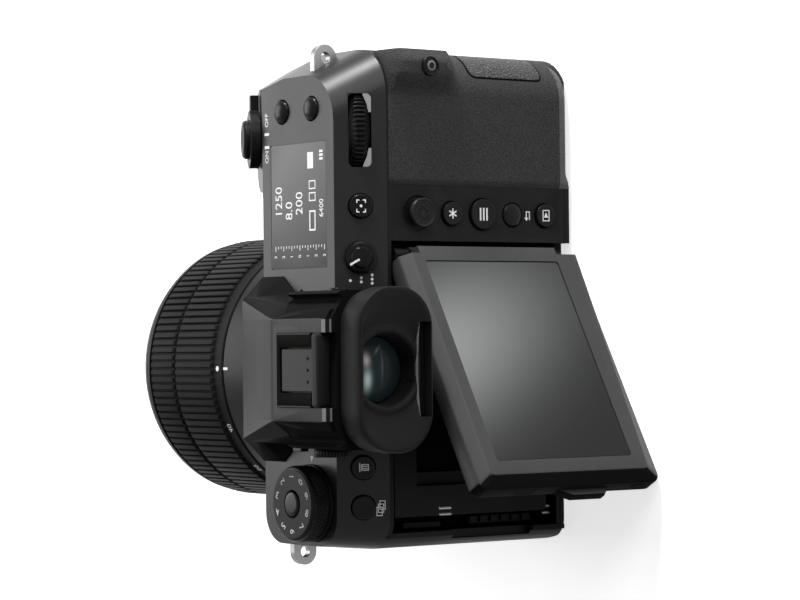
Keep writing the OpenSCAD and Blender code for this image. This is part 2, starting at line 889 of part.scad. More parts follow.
module focus_stick() {
    color([0.09, 0.09, 0.1])
        on_back(col_x, col_z[4]) {
            translate([0, 0, -wall - 1])
                cylinder(r = 2.3, h = wall + 2.2);
            translate([-2.7, 0, -2])
                rotate([0, 90, 0])
                    cylinder(r = 0.8, h = 5.4);
            translate([0, 0, 1])
                cylinder(r1 = 3.2, r2 = 4.1, h = 1);
            translate([0, 0, 2])
                cylinder(r = 4.1, h = 1.2);
            translate([0, 0, 3.2])
                cylinder(r1 = 4.1, r2 = 3.4, h = 0.5);
        }
}

module ael_button() {
    color([0.1, 0.1, 0.11])
        on_back(col_x, col_z[3])
            push_button(button_r, 1);
}

module menu_button() {
    color([0.1, 0.1, 0.11])
        on_back(col_x, col_z[2])
            push_button(button_r + 1.1, 1);
}

module back_button() {
    color([0.1, 0.1, 0.11])
        on_back(col_x, col_z[1])
            push_button(button_r, 1);
}

module playback_button() {
    color([0.1, 0.1, 0.11])
        on_back(col_x, col_z[0])
            push_button(button_r, 1);
}

module delete_button() {
    color([0.1, 0.1, 0.11])
        on_band(delete_x, band_s)
            push_button(button_r, 1.1);
}

module drive_button() {
    color([0.1, 0.1, 0.11])
        on_band(drive_x, band_s)
            push_button(button_r, 1.1);
}

module quick_menu_button() {
    color([0.06, 0.06, 0.065])
        rod_y(quick_p[0], [y_b + 0.6, quick_p[1] + 0.7], quick_p[2], 3);
}

module lens_release_button() {
    color([0.1, 0.1, 0.11]) {
        rod_y(release_p[0], [y_f - 3, y_f + wall + 2.4], release_p[1], 4.4);
        on_axis()
            rotate(pin_a)
                translate([pin_r, 0, -y_f - wall - 2.4])
                    cylinder(r = 1.2, h = wall + 6);
        on_axis()
            rotate(pin_a)
                translate([pin_r - 1.6, -1.6, -y_f - wall - 2.4])
                    cube([norm([release_p[0], release_p[1] - axis_h]) - pin_r + 1.6, 3.2, 1.8]);
    }
}

// Upright hinge pin in the thickness of a side wall that starts at x, past both ends of a door by e
module door_pin(x, y, z, r, e) {
    translate([x + wall / 2, y[0] + wall / 2, z[0] - e])
        cylinder(r = r, h = z[1] - z[0] + 2 * e);
}

// Door that fills an opening of a side wall, with its edge rounded about the pin
module side_door(x, y, z) {
    span([x, x + wall], [y[0] + wall / 2, y[1]], z);
    door_pin(x, y, z, wall / 2, 0);
    door_pin(x, y, z, 0.7, 1.5);
}

module card_door() {
    color([0.08, 0.08, 0.085])
        side_door(x_r, door_y, door_z);
}

module connector_cover() {
    color([0.08, 0.08, 0.085])
        side_door(x_l - wall, port_y, port_z);
}

module battery_door() {
    color([0.08, 0.08, 0.085]) {
        span(hatch_x, [hatch_y[0], hatch_a], [base_t / 2 - hinge_r, base_t / 2 + hinge_r]);
        rod_x(hatch_x, hatch_a, base_t / 2, hinge_r);
        rod_x([hatch_x[0] - 1.5, hatch_x[1] + 1.5], hatch_a, base_t / 2, 0.7);
    }
}

module hot_shoe_cover() {
    color([0.13, 0.13, 0.14]) {
        span([-9.1, 9.1], [shoe_y[0] + 2.4, shoe_y[1] + 0.4], [shoe_z + 1.1, shoe_z + 2.5]);
        span([-6.1, 6.1], [shoe_y[0] + 2.4, shoe_y[1] + 0.4], [shoe_z + 2.5, hump_h + 0.8]);
        span([-shoe_half + 0.3, shoe_half - 0.3], [shoe_y[1] + 0.4, shoe_y[1] + 2.6],
            [shoe_z + 0.3, hump_h + 1]);
    }
}

module tilt_arm() {
    color([0.35, 0.35, 0.37]) {
        difference() {
            span([rx0 + 9, rx1 - 9], [arm_y - 1, arm_y + 1], [arm_z, link_z]);
            span([rx0 + 17, rx1 - 17], [arm_y - 5, arm_y + 5], [arm_z + 7, link_z - 7]);
        }
        rod_x([rx0 + 6, rx1 - 6], arm_y, arm_z, 1.3);
        rod_x([rx0 + 1.8, rx1 - 1.8], arm_y, arm_z, 1);
        rod_x([rx0 + 5, rx1 - 5], arm_y, link_z, 1);
    }
}

module tilt_frame() {
    y0 = arm_y + 1.9;
    y1 = sy0 - 0.3;
    color([0.3, 0.3, 0.32])
        difference() {
            union() {
                span(frame_x, [y0, y1], [ear_z[0] + 3, link_z + 2]);
                for (z = ear_z) {
                    span([px - 1.8, frame_x[0] + 4], [y0, y1], [z, z + ear_h]);
                    span([px - 1.8, px + 1.8], [y0, py], [z, z + ear_h]);
                    translate([px, py, z])
                        cylinder(r = 1.8, h = ear_h);
                }
                for (x = [rx0 + 5.4, rx1 - 8.4])
                    span([x, x + 3.2], [arm_y - 1.3, y1], [link_z - 2, link_z + 2]);
                // Pins of the side hinge
                translate([px, py, ear_z[0] + 2])
                    cylinder(r = 1, h = ear_h + 2);
                translate([px, py, ear_z[1] - 4])
                    cylinder(r = 1, h = ear_h + 2);
            }
            rod_x([rx0, rx1], arm_y, link_z, 1.05);
            span([frame_x[0] + 9, frame_x[1] - 9], [0, y_b], [ear_z[0] + 11, link_z - 6]);
        }
}

// Screen in its shown position
module swung() {
    translate([px, py, 0])
        rotate(screen_open)
            translate([-px, -py, 0])
                children();
}

// Housing with bevels around its face and smaller ones around its back
module screen_body() {
    x1 = sx0 + screen_w;
    intersection() {
        translate([0, 0, sz0])
            linear_extrude(height = screen_h)
                polygon([[sx0, sy0 + 1.6], [sx0 + 1.6, sy0], [x1 - 1, sy0], [x1, sy0 + 1],
                    [x1, sy1 - bevel[1]], [x1 - bevel[0], sy1], [sx0 + 1, sy1], [sx0, sy1 - 1]]);
        translate([sx0 - 5, 0, 0])
            rotate([90, 0, 90])
                linear_extrude(height = screen_w + 10)
                    polygon([[sy0, sz0 + 1], [sy0 + 1, sz0], [sy1 - bevel[1], sz0], [sy1, sz0 + bevel[0]],
                        [sy1, sz1 - bevel[0]], [sy1 - bevel[1], sz1], [sy0 + 1, sz1], [sy0, sz1 - 1]]);
    }
}

module screen_housing() {
    x1 = sx0 + screen_w;
    barrel_z = [ear_z[0] + ear_h + 0.5, ear_z[1] - 0.5];
    color([0.1, 0.1, 0.11])
        swung()
            difference() {
                union() {
                    screen_body();
                    // Hinge barrel between the ears of the frame
                    translate([px, py, barrel_z[0]])
                        cylinder(r = 2.2, h = barrel_z[1] - barrel_z[0]);
                    // Finger tab on the free edge
                    translate([0, sy0 + 0.4, 0])
                        rotate([-90, 0, 0])
                            mirror([0, 1, 0])
                                linear_extrude(height = 3)
                                    polygon([[x1 - 2, tab_z[0]], [x1 + 2.2, tab_z[1]], [x1 + 2.2, tab_z[2]],
                                        [x1 - 2, tab_z[3]]]);
                }
                span([sx0 - 5, px + 2.6], [0, y_b + 20], [sz0 - 1, barrel_z[0]]);
                span([sx0 - 5, px + 2.6], [0, y_b + 20], [barrel_z[1], sz1 + 1]);
                span([dx0, dx0 + display_w], [sy1 - 1.4, sy1 + 5], [dz0, dz0 + display_h]);
                translate([px, py, barrel_z[0] - 1])
                    cylinder(r = 1.05, h = 5);
                translate([px, py, barrel_z[1] - 4])
                    cylinder(r = 1.05, h = 5);
            }
}

module screen_glass() {
    color([0.15, 0.15, 0.16])
        swung()
            span([dx0, dx0 + display_w], [sy1 - 1.4, sy1 - 0.2], [dz0, dz0 + display_h]);
}

module lens_barrel() {
    color([0.08, 0.08, 0.085])
        on_axis()
            difference() {
                rotate_extrude()
                    polygon([[throat_r, flange - 5.6], [32.2, flange - 5.6], [32.2, flange],
                        [barrel_r - 1, flange], [barrel_r, flange + 2], [barrel_r, st_zoom - 0.3],
                        [tube_r, st_zoom - 0.3], [tube_r, st_rim], [barrel_r + 1, st_rim],
                        [barrel_r + 0.8, st_rim + 2], [barrel_r - 0.6, lens_front], [bore_r, lens_front],
                        [bore_r, flange + 3], [throat_r, flange + 3]]);
                rotate(pin_a)
                    translate([pin_r, 0, 0])
                        cylinder(r = 1.6, h = flange + 2);
            }
}

module zoom_ring() {
    color([0.07, 0.07, 0.075])
        on_axis()
            difference() {
                union() {
                    translate([0, 0, st_zoom])
                        cylinder(r = barrel_r + 0.4, h = 5);
                    translate([0, 0, st_rib])
                        toothed(ring_r, rib_d, rib_count, st_split - st_rib - 0.2);
                }
                cylinder(r = tube_r + 0.25, h = 200);
            }
}

module focus_ring() {
    color([0.07, 0.07, 0.075])
        on_axis()
            difference() {
                translate([0, 0, st_split + 0.2])
                    toothed(ring_r - 0.2, rib_d, rib_count, st_rim - st_split - 0.5);
                cylinder(r = tube_r + 0.25, h = 200);
            }
}

module front_barrel() {
    color([0.09, 0.09, 0.095])
        on_axis()
            rotate_extrude()
                polygon([[bore_r - 0.3, lens_front - 32], [bore_r - 0.3, lens_front - 0.8],
                    [filter_r, lens_front - 0.8], [filter_r, lens_front - 6.8],
                    [filter_r - 2, lens_front - 6.8], [filter_r - 2, lens_front - 32]]);
}

module front_element() {
    color([0.2, 0.22, 0.3])
        on_axis()
            translate([0, 0, lens_front - 16])
                cylinder(r = filter_r - 2, h = 6);
}

module rear_element() {
    color([0.2, 0.22, 0.3])
        on_axis()
            translate([0, 0, flange - 4])
                cylinder(r = throat_r, h = 5);
}

front_cover();
rear_cover();
top_cover();
viewfinder_hump();
base_plate();
grip_rubber();
thumb_rubber();
strap_lugs();
lens_mount_ring();
tripod_socket();
chassis();
shutter_unit();
image_sensor();
main_board();
battery();
card_socket();
viewfinder_block();
eyepiece_lens();
eyecup();
eye_sensor_window();
hot_shoe();
sub_monitor_window();
indicator_lamp();
cover_screws();
shutter_button();
power_lever();
front_dial();
rear_dial();
mode_dial();
mode_dial_lock();
stills_movie_switch();
diopter_wheel();
top_button_front();
top_button_rear();
view_mode_button();
af_on_button();
focus_mode_switch();
focus_stick();
ael_button();
menu_button();
back_button();
playback_button();
delete_button();
drive_button();
quick_menu_button();
lens_release_button();
card_door();
battery_door();
connector_cover();
hot_shoe_cover();
tilt_arm();
tilt_frame();
screen_housing();
screen_glass();
lens_barrel();
zoom_ring();
focus_ring();
front_barrel();
front_element();
rear_element();
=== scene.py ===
# %% [markdown]
# # A medium format digital camera, dressed for its portrait
#
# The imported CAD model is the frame: every solid is already at its real place, in metres, with X to the camera's
# left, Y to its back and Z up. This lesson dresses it. Covers keep their CAD form and get the small edge radii of
# moulded and cast parts. Rubber, rings, dials, the eyecup and the screen are made anew.

# %% Load the frame
import json
from math import cos, pi, radians, sin, sqrt

import bmesh
import bpy
from mathutils import Matrix, Vector

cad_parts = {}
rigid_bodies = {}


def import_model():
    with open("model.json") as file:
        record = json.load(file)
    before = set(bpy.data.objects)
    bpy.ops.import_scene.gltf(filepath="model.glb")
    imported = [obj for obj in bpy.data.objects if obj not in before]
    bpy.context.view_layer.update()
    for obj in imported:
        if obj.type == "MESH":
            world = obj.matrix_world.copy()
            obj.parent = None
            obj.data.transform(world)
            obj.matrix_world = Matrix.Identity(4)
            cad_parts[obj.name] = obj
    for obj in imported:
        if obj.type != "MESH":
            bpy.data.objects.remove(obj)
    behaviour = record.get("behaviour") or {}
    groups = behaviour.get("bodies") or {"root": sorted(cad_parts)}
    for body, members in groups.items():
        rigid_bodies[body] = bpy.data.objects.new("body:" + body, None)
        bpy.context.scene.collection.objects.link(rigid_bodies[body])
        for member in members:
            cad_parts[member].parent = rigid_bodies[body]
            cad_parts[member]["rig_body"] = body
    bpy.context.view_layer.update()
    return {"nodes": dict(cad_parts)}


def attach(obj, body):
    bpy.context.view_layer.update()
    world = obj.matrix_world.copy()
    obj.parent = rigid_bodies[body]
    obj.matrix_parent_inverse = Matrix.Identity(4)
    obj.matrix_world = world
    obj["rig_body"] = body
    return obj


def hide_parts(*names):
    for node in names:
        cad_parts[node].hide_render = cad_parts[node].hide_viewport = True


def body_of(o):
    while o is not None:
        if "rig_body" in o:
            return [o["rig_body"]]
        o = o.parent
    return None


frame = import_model()
NODES = frame["nodes"]
MM = 0.001

# %% [markdown]
# ## Where the photographer stood
#
# The picture was solved beforehand: the lens of the studio camera is long, it stands 85 cm away, 36 degrees above
# the horizon and straight behind the object, and it is rolled so that the base points to the right. The three
# columns of the matrix are the picture's right, its up and the way back to the viewer.

# %% Camera at the photograph's viewing angle
VIEW_TILT, VIEW_TURN = radians(36), radians(1)
VIEW_DISTANCE = 0.850
FOCAL_PIXELS, PICTURE_WIDTH, SENSOR = 2822, 800, 36.0
AIM = Vector((-0.0203, 0.0, 0.0481))


def link_object(name, data):
    """New object at the origin of the scene."""
    item = bpy.data.objects.new(name, data)
    bpy.context.scene.collection.objects.link(item)
    return item


to_viewer = Vector((sin(VIEW_TURN) * cos(VIEW_TILT), cos(VIEW_TURN) * cos(VIEW_TILT), sin(VIEW_TILT)))
picture_up = Vector((-cos(VIEW_TURN), sin(VIEW_TURN), 0))
picture_right = picture_up.cross(to_viewer)
studio_camera = link_object("studio_camera", bpy.data.cameras.new("studio_camera"))
roll = Matrix((picture_right, picture_up, to_viewer)).transposed().to_4x4()
studio_camera.matrix_world = Matrix.Translation(AIM + VIEW_DISTANCE * to_viewer) @ roll
studio_camera.data.sensor_width = SENSOR
studio_camera.data.lens = FOCAL_PIXELS / PICTURE_WIDTH * SENSOR
studio_camera.data.clip_start = 0.01
bpy.context.scene.camera = studio_camera
bpy.context.scene.view_settings.view_transform = "Standard"
print("lens", round(studio_camera.data.lens, 1), "mm at", [round(c, 3) for c in studio_camera.location])

# %% [markdown]
# ## Light, floor and white surroundings
#
# A black object on white is drawn by what it mirrors. The main soft box stands in front of the lens, high enough
# for the top plate to mirror it to the viewer, so that plate and hump read as broad grey planes. A smaller one on
# the grip side lights the rounded corner, and a weak one fills the back. The floor and the world answer camera,
# mirror and glass rays with plain white, and only diffuse rays see their true level.

# %% Lamps
LAMP_AIM = Vector((-0.02, 0.0, 0.05))


def soft_box(name, place, size, watts):
    """Square area lamp at a place in metres that looks at the middle of the object."""
    lamp = bpy.data.lights.new(name, "AREA")
    lamp.shape, lamp.size, lamp.energy = "SQUARE", size, watts
    holder = link_object(name, lamp)
    holder.location = place
    holder.rotation_euler = (LAMP_AIM - Vector(place)).to_track_quat("-Z", "Y").to_euler()


soft_box("front_top_box", (-0.26, -1.10, 0.85), 0.80, 10)
soft_box("grip_box", (-1.20, 0.06, 0.44), 0.28, 26)
soft_box("back_box", (-1.00, 0.85, 0.45), 0.60, 7)


# %% Helpers for node trees
def tune(node, **settings):
    """Set a node: names in capitals are input sockets, input_1 is a socket by number, the rest are properties."""
    for key, value in settings.items():
        if key.startswith("input_"):
            node.inputs[int(key[-1])].default_value = value
        elif key[0].isupper():
            node.inputs[key.replace("_", " ")].default_value = value
        else:
            setattr(node, key, value)
    return node


def new_node(tree, kind, **settings):
    """New node of a tree, set as by tune."""
    return tune(tree.nodes.new(kind), **settings)


def wire(tree, *links):
    """Links as (node, output, node, input), with sockets by name or number."""
    for start, out, end, into in links:
        tree.links.new(start.outputs[out], end.inputs[into])


def seen_rays(tree):
    """Node that gives 1 for rays that look, mirror or pass through glass, 0 for rays that light a surface."""
    path = new_node(tree, "ShaderNodeLightPath")
    look, either = (new_node(tree, "ShaderNodeMath", operation="MAXIMUM") for _ in range(2))
    wire(tree, (path, "Is Camera Ray", look, 0), (path, "Is Glossy Ray", look, 1), (look, 0, either, 0),
         (path, "Is Transmission Ray", either, 1))
    return either


def new_material(name):
    """Material with its node tree and its Principled shader."""
    material = bpy.data.materials.new(name)
    material.use_nodes = True
    return material, material.node_tree, material.node_tree.nodes["Principled BSDF"]


# %% White world
SKY_LEVEL = 0.22
world = bpy.data.worlds.new("white_room")
bpy.context.scene.world = world
world.use_nodes = True
tree = world.node_tree
sky = tune(tree.nodes["Background"], Color=(1, 1, 1, 1))
level = new_node(tree, "ShaderNodeMapRange", To_Min=SKY_LEVEL, To_Max=1.0)
wire(tree, (seen_rays(tree), 0, level, "Value"), (level, "Result", sky, "Strength"))
print("white world that lights with", SKY_LEVEL)

# %% White floor
FLOOR_HALF, FLOOR_Z, FLOOR_GREY, FLOOR_GLOW = 3.0, -0.0004, 0.86, 0.66
floor_mesh = bpy.data.meshes.new("floor")
floor_mesh.from_pydata([(x * FLOOR_HALF, y * FLOOR_HALF, FLOOR_Z) for x, y in ((-1, -1), (1, -1), (1, 1), (-1, 1))],
                       [], [(0, 1, 2, 3)])
floor = link_object("floor", floor_mesh)
paper, tree, matt = new_material("floor_paper")
tune(matt, Base_Color=(FLOOR_GREY, FLOOR_GREY, FLOOR_GREY, 1), Roughness=0.9, Specular_IOR_Level=0.0)
glow, add = new_node(tree, "ShaderNodeEmission"), new_node(tree, "ShaderNodeAddShader")
level = new_node(tree, "ShaderNodeMath", operation="MULTIPLY", input_1=FLOOR_GLOW)
wire(tree, (seen_rays(tree), 0, level, 0), (level, 0, glow, "Strength"), (matt, 0, add, 0), (glow, 0, add, 1),
     (add, 0, tree.nodes["Material Output"], "Surface"))
floor_mesh.materials.append(paper)
print("floor", 2 * FLOOR_HALF, "m across")

# %% [markdown]
# ## Effects that several finishes share
#
# Three small shader groups give what the eye reads as material. `fine_grain` is the sand-like texture of matt
# paint and moulded plastic, `leather_grain` the pebbled skin of the grips, and `uneven_tone` lets colour and gloss
# drift a little over a surface, as they do on any real part. All of them read Object coordinates, so the pattern
# stays on its piece.

# %% Fine grain
FLOAT, COLOUR = "NodeSocketFloat", "NodeSocketColor"


def shader_group(name, inputs, outputs):
    """Empty shader group with named sockets; returns it with its two end nodes and its coordinates."""
    tree = bpy.data.node_groups.new(name, "ShaderNodeTree")
    for label, kind, value in inputs:
        tree.interface.new_socket(label, in_out="INPUT", socket_type=kind).default_value = value
    for label, kind in outputs:
        tree.interface.new_socket(label, in_out="OUTPUT", socket_type=kind)
    return tree, *(new_node(tree, kind) for kind in ("NodeGroupInput", "NodeGroupOutput", "ShaderNodeTexCoord"))


fine_grain, given, result, where = shader_group("fine_grain", [("Scale", FLOAT, 3000)], [("Height", FLOAT)])
noise = new_node(fine_grain, "ShaderNodeTexNoise", Detail=2.0)
wire(fine_grain, (where, "Object", noise, "Vector"), (given, "Scale", noise, "Scale"), (noise, "Fac", result, "Height"))

# %% Leather grain
leather_grain, given, result, where = shader_group("leather_grain", [("Scale", FLOAT, 900)], [("Height", FLOAT)])
warp = new_node(leather_grain, "ShaderNodeTexNoise", Scale=420)
shift = new_node(leather_grain, "ShaderNodeVectorMath", operation="MULTIPLY_ADD", input_1=(0.0012, 0.0012, 0.0012))
cells = new_node(leather_grain, "ShaderNodeTexVoronoi", feature="DISTANCE_TO_EDGE")
dome = new_node(leather_grain, "ShaderNodeMapRange", interpolation_type="SMOOTHSTEP", From_Max=0.42)
wire(leather_grain, (where, "Object", warp, "Vector"), (warp, "Color", shift, 0), (where, "Object", shift, 2),
     (shift, 0, cells, "Vector"), (given, "Scale", cells, "Scale"), (cells, "Distance", dome, "Value"),
     (dome, "Result", result, "Height"))

# %% Uneven tone
uneven_tone, given, result, where = shader_group(
    "uneven_tone",
    [("Colour", COLOUR, (0.03, 0.03, 0.03, 1)), ("Lift", COLOUR, (0.04, 0.04, 0.04, 1)), ("Scale", FLOAT, 60),
     ("Rough Low", FLOAT, 0.4), ("Rough High", FLOAT, 0.5)],
    [("Colour", COLOUR), ("Roughness", FLOAT)])
noise = new_node(uneven_tone, "ShaderNodeTexNoise", Detail=4.0)
mix = new_node(uneven_tone, "ShaderNodeMix", data_type="RGBA")
gloss_range = new_node(uneven_tone, "ShaderNodeMapRange")
wire(uneven_tone, (where, "Object", noise, "Vector"), (given, "Scale", noise, "Scale"), (noise, "Fac", mix, "Factor"),
     (given, "Colour", mix, "A"), (given, "Lift", mix, "B"), (noise, "Fac", gloss_range, "Value"),
     (given, "Rough Low", gloss_range, "To Min"), (given, "Rough High", gloss_range, "To Max"),
     (mix, "Result", result, "Colour"), (gloss_range, "Result", result, "Roughness"))
print("groups", [g.name for g in bpy.data.node_groups])

# %% [markdown]
# ## Finishes
#
# The body is magnesium under matt black paint, so its highlights are broad and grey. Grips are pebbled rubber,
# buttons are smoother plastic, the screen's rim is a satin moulding. One function builds them all: base colour and
# roughness drift through `uneven_tone`, and the relief comes from a grain group into a Bump node. Numbers that are
# the same all over sit on the shader's own sockets.

# %% One function for every finish
def finish(name, colour, rough, lift=1.25, spread=0.08, tone_scale=70, grain=None, grain_scale=2600,
           depth=0.02, strength=0.5, dirt=0.0, **sockets):
    """Material with drifting tone; colour is linear grey or RGB, depth in millimetres; a grain can also darken its own
    dips as painted shade.
    """
    rgb = colour if isinstance(colour, tuple) else (colour,) * 3
    material, tree, shader = new_material(name)
    tone = new_node(tree, "ShaderNodeGroup", node_tree=uneven_tone, Colour=(*rgb, 1), Scale=tone_scale,
                    Lift=(*(min(1, c * lift) for c in rgb), 1), Rough_Low=max(0.02, rough - spread),
                    Rough_High=min(1, rough + spread))
    wire(tree, (tone, "Colour", shader, "Base Color"), (tone, "Roughness", shader, "Roughness"))
    if grain:
        relief = new_node(tree, "ShaderNodeGroup", node_tree=grain, Scale=grain_scale)
        bump = new_node(tree, "ShaderNodeBump", Strength=strength, Distance=depth * MM)
        wire(tree, (relief, "Height", bump, "Height"), (bump, "Normal", shader, "Normal"))
        # Painted shade: the colour is darkened in the dips of the grain, where shade would fall
        if dirt:
            shade = new_node(tree, "ShaderNodeMix", data_type="RGBA", blend_type="MULTIPLY", Factor=dirt)
            wire(tree, (tone, "Colour", shade, "A"), (relief, "Height", shade, "B"),
                 (shade, "Result", shader, "Base Color"))
    tune(shader, **sockets)
    material.diffuse_color = (*rgb, 1)
    return material


def grained(name, colour, rough, scale, depth, spread=0.08, grain=fine_grain, **more):
    """Finish with a relief of this scale and depth."""
    return finish(name, colour, rough, spread=spread, grain=grain, grain_scale=scale, depth=depth, **more)


# %% Paint, plastic and rubber
DULL, SATIN, RUBBER = ({"Specular_IOR_Level": level} for level in (0.06, 0.15, 0.03))
HIDE = {"grain": leather_grain}
PAINT = {"scale": 2800, "depth": 0.016, "spread": 0.05}
paint = grained("matt_paint", 0.012, 0.34, **PAINT, **SATIN)
# Painted shade: a darker, duller copy of the paint for faces that the lamps leave in shade
painted_shade_paint = grained("hump_side_paint", 0.007, 0.40, **PAINT, IOR=1.12, **RUBBER)
hump_paint = grained("hump_paint", 0.009, 0.36, **PAINT, IOR=1.30, **SATIN)
# Painted sheen on the hump's lands and fold lines and on the shoe rails; also the focus stick's colour
land_paint = grained("land_paint", 0.016, 0.36, **PAINT, **DULL)
# Painted highlight for chamfers, lips and rings that catch the light
bright_edge = grained("bright_edge", 0.13, 0.40, **PAINT, **DULL)
cover = grained("moulded_cover", 0.009, 0.46, 3200, 0.012, **DULL)
skin = grained("pebbled_rubber", 0.020, 0.52, 700, 0.32, strength=1.0, dirt=0.6, **HIDE, **SATIN)
thumb_skin = grained("thumb_rubber", 0.048, 0.62, 1700, 0.12, strength=0.9, dirt=0.5, **HIDE, **DULL)
# Painted reflection of the floor: lighter rubber for the rolled lower edge
roll_painted_highlight = grained("rolled_rubber", 0.110, 0.55, 1100, 0.10, dirt=0.3, **HIDE, **DULL)
patch_skin = grained("patch_rubber", 0.085, 0.50, 1150, 0.40, strength=1.0, dirt=0.75, **HIDE, **SATIN)
cup_rubber = grained("eyecup_rubber", 0.008, 0.52, 4200, 0.008, **DULL)
ring_rubber = grained("ring_rubber", 0.011, 0.52, 3600, 0.008, IOR=1.3, **DULL)
barrel_black = grained("anodised_barrel", 0.010, 0.36, 5000, 0.004, 0.05, **DULL)
button_black = grained("button_plastic", 0.004, 0.24, 4500, 0.003, 0.04, Specular_IOR_Level=0.10)
dial_black = grained("dial_metal", 0.006, 0.34, 4500, 0.006, 0.05, **DULL)
screen_rim = grained("screen_rim", 0.031, 0.42, 3800, 0.006, 0.06, **SATIN)
# Black plastic of rails, arrows and inner block; also painted shade in the hollow, the patch groove and the sound holes
black_and_painted_shade = grained("recess_plastic", (0.0024, 0.0025, 0.0020), 0.5, 3000, 0.01, IOR=1.10, **SATIN)
frame_black = grained("blacked_frame", 0.008, 0.4, 4000, 0.006, 0.05, tone_scale=200, **DULL)
print("paint, plastic and rubber finishes", len(bpy.data.materials))

# %% Metal, glass and print
STEEL = {"spread": 0.06, "tone_scale": 220, "Metallic": 1.0}
alloy = grained("cast_alloy", 0.42, 0.5, 2600, 0.03, lift=1.1, tone_scale=240, Metallic=1.0)
chrome = finish("polished_chrome", 0.22, 0.40, lift=1.2, spread=0.05, tone_scale=260, Metallic=1.0)
steel = finish("satin_steel", 0.50, 0.34, lift=1.1, **STEEL)
dark_steel = finish("blackened_steel", 0.030, 0.36, **STEEL)
board_green = finish("solder_mask", (0.03, 0.13, 0.07), 0.35, lift=1.3, tone_scale=300)
gloss_black = finish("gloss_window", 0.006, 0.10, spread=0.03, lift=1.1, **SATIN)
white_print = finish("white_print", 0.78, 0.55, lift=1.05)
lamp_lens = finish("lamp_lens", (0.03, 0.035, 0.03), 0.2, lift=1.2, **SATIN)
# A clear solid would show the works behind it, so lens glass is dark with a smooth coat
lens_glass = finish("lens_glass", (0.008, 0.009, 0.016), 0.05, spread=0.02, lift=1.15, tone_scale=90, Coat_Weight=0.15,
                    Coat_Roughness=0.03, Coat_Tint=(0.8, 0.8, 1.0, 1), **DULL)
print("all finishes", len(bpy.data.materials))

# %% [markdown]
# ## From solid to cast part
#
# A CAD solid has knife edges, and nothing real has. Each cover is copied, its loose triangles are merged and its
# flat faces joined, and a small bevel breaks every sharp edge. The bevel could stay a live modifier, but a plain
# mesh is easier to check and to export, so it is applied at once. Weighted normals then keep the large faces flat.

# %% Working with meshes
MERGE, FLAT, SHARP, CAST = 2e-6, 0.4, 35, 40


def link_mesh(name, mesh, *materials):
    """New piece at the origin with these finishes."""
    for material in materials:
        mesh.materials.append(material)
    return link_object(name, mesh)


def mount(piece, body, slot, *replaced):
    """The piece moves with a body and stands for these solids; the slot is not used."""
    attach(piece, body)
    if replaced:
        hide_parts(*replaced)
    print(piece.name, len(piece.data.polygons), "faces on", body)


def smooth(mesh, angle):
    """Round shading that stops at edges sharper than the angle."""
    mesh.shade_smooth()
    mesh.set_sharp_from_angle(angle=radians(angle))


def settle(piece):
    """Apply every modifier, so that the piece is a plain mesh."""
    bpy.context.view_layer.update()
    shown = piece.evaluated_get(bpy.context.evaluated_depsgraph_get())
    old, piece.data = piece.data, bpy.data.meshes.new_from_object(shown)
    piece.modifiers.clear()
    bpy.data.meshes.remove(old)
    piece.data.name = piece.name
    return piece


def soften(piece, width):
    """Break the sharp edges by a bevel of this width in millimetres."""
    bevel = piece.modifiers.new("edges", "BEVEL")
    bevel.width, bevel.segments = width * MM, 2
    bevel.limit_method, bevel.angle_limit = "ANGLE", radians(SHARP)
    settle(piece)
    smooth(piece.data, CAST)
    piece.modifiers.new("flats", "WEIGHTED_NORMAL").keep_sharp = True


def merged_copy(node):
    """The solid's mesh with its triangles merged and its flat faces joined."""
    work = bmesh.new()
    work.from_mesh(NODES[node].data)
    bmesh.ops.remove_doubles(work, verts=work.verts, dist=MERGE)
    bmesh.ops.dissolve_degenerate(work, edges=work.edges, dist=MERGE)
    bmesh.ops.dissolve_limit(work, angle_limit=radians(FLAT), verts=work.verts, edges=work.edges)
    mesh = bpy.data.meshes.new(node + "_shape")
    work.to_mesh(mesh)
    work.free()
    return mesh


# %% Covers and hard parts
COVERS = {
    "front_cover": ("paint", paint, 0.5), "top_cover": ("paint", paint, 0.7),
    "viewfinder_hump": ("paint", hump_paint, 0.5), "rear_cover": ("plastic", cover, 0.5),
    "base_plate": ("paint", cover, 0.4), "strap_lugs": ("chrome", chrome, 0.45),
    "hot_shoe": ("steel", black_and_painted_shade, 0.2), "card_door": ("plastic", cover, 0.3),
    "connector_cover": ("plastic", skin, 0.3), "battery_door": ("plastic", cover, 0.3),
    "stills_movie_switch": ("plastic", button_black, 0.3),
    "tilt_arm": ("steel", frame_black, 0.2), "tilt_frame": ("steel", frame_black, 0.25),
    "tripod_socket": ("steel", steel, 0.25), "lens_mount_ring": ("steel", steel, 0.2),
    "eye_sensor_window": ("gloss", gloss_black, 0.2),
    "power_lever": ("plastic", dial_black, 0.3), "view_mode_button": ("plastic", button_black, 0.35),
    "lens_release_button": ("plastic", button_black, 0.5),
    "grip_rubber": ("rubber", skin, 0.3), "diopter_wheel": ("plastic", button_black, 0.1),
    "shutter_button": ("plastic", dial_black, 0.3), "lens_barrel": ("paint", barrel_black, 0.3),
    "front_barrel": ("plastic", barrel_black, 0.25), "indicator_lamp": ("plastic", lamp_lens, 0.2),
}
for node, (slot, material, width) in COVERS.items():
    piece = link_mesh(node + "_part", merged_copy(node), material)
    soften(piece, width)
    mount(piece, body_of(NODES[node])[0], slot, node)

# %% [markdown]
# The hump is folded from flat planes. Its roof is narrower than the CAD's, so the roof is cut along two folds and
# what lies outside them bends down. The steep sides get a darker, duller copy of the paint as painted shade, a thin
# strip of lighter paint along each fold is a painted highlight, and two lands beside the shoe are painted lighter as
# painted sheen and end in a chamfer with a painted highlight.

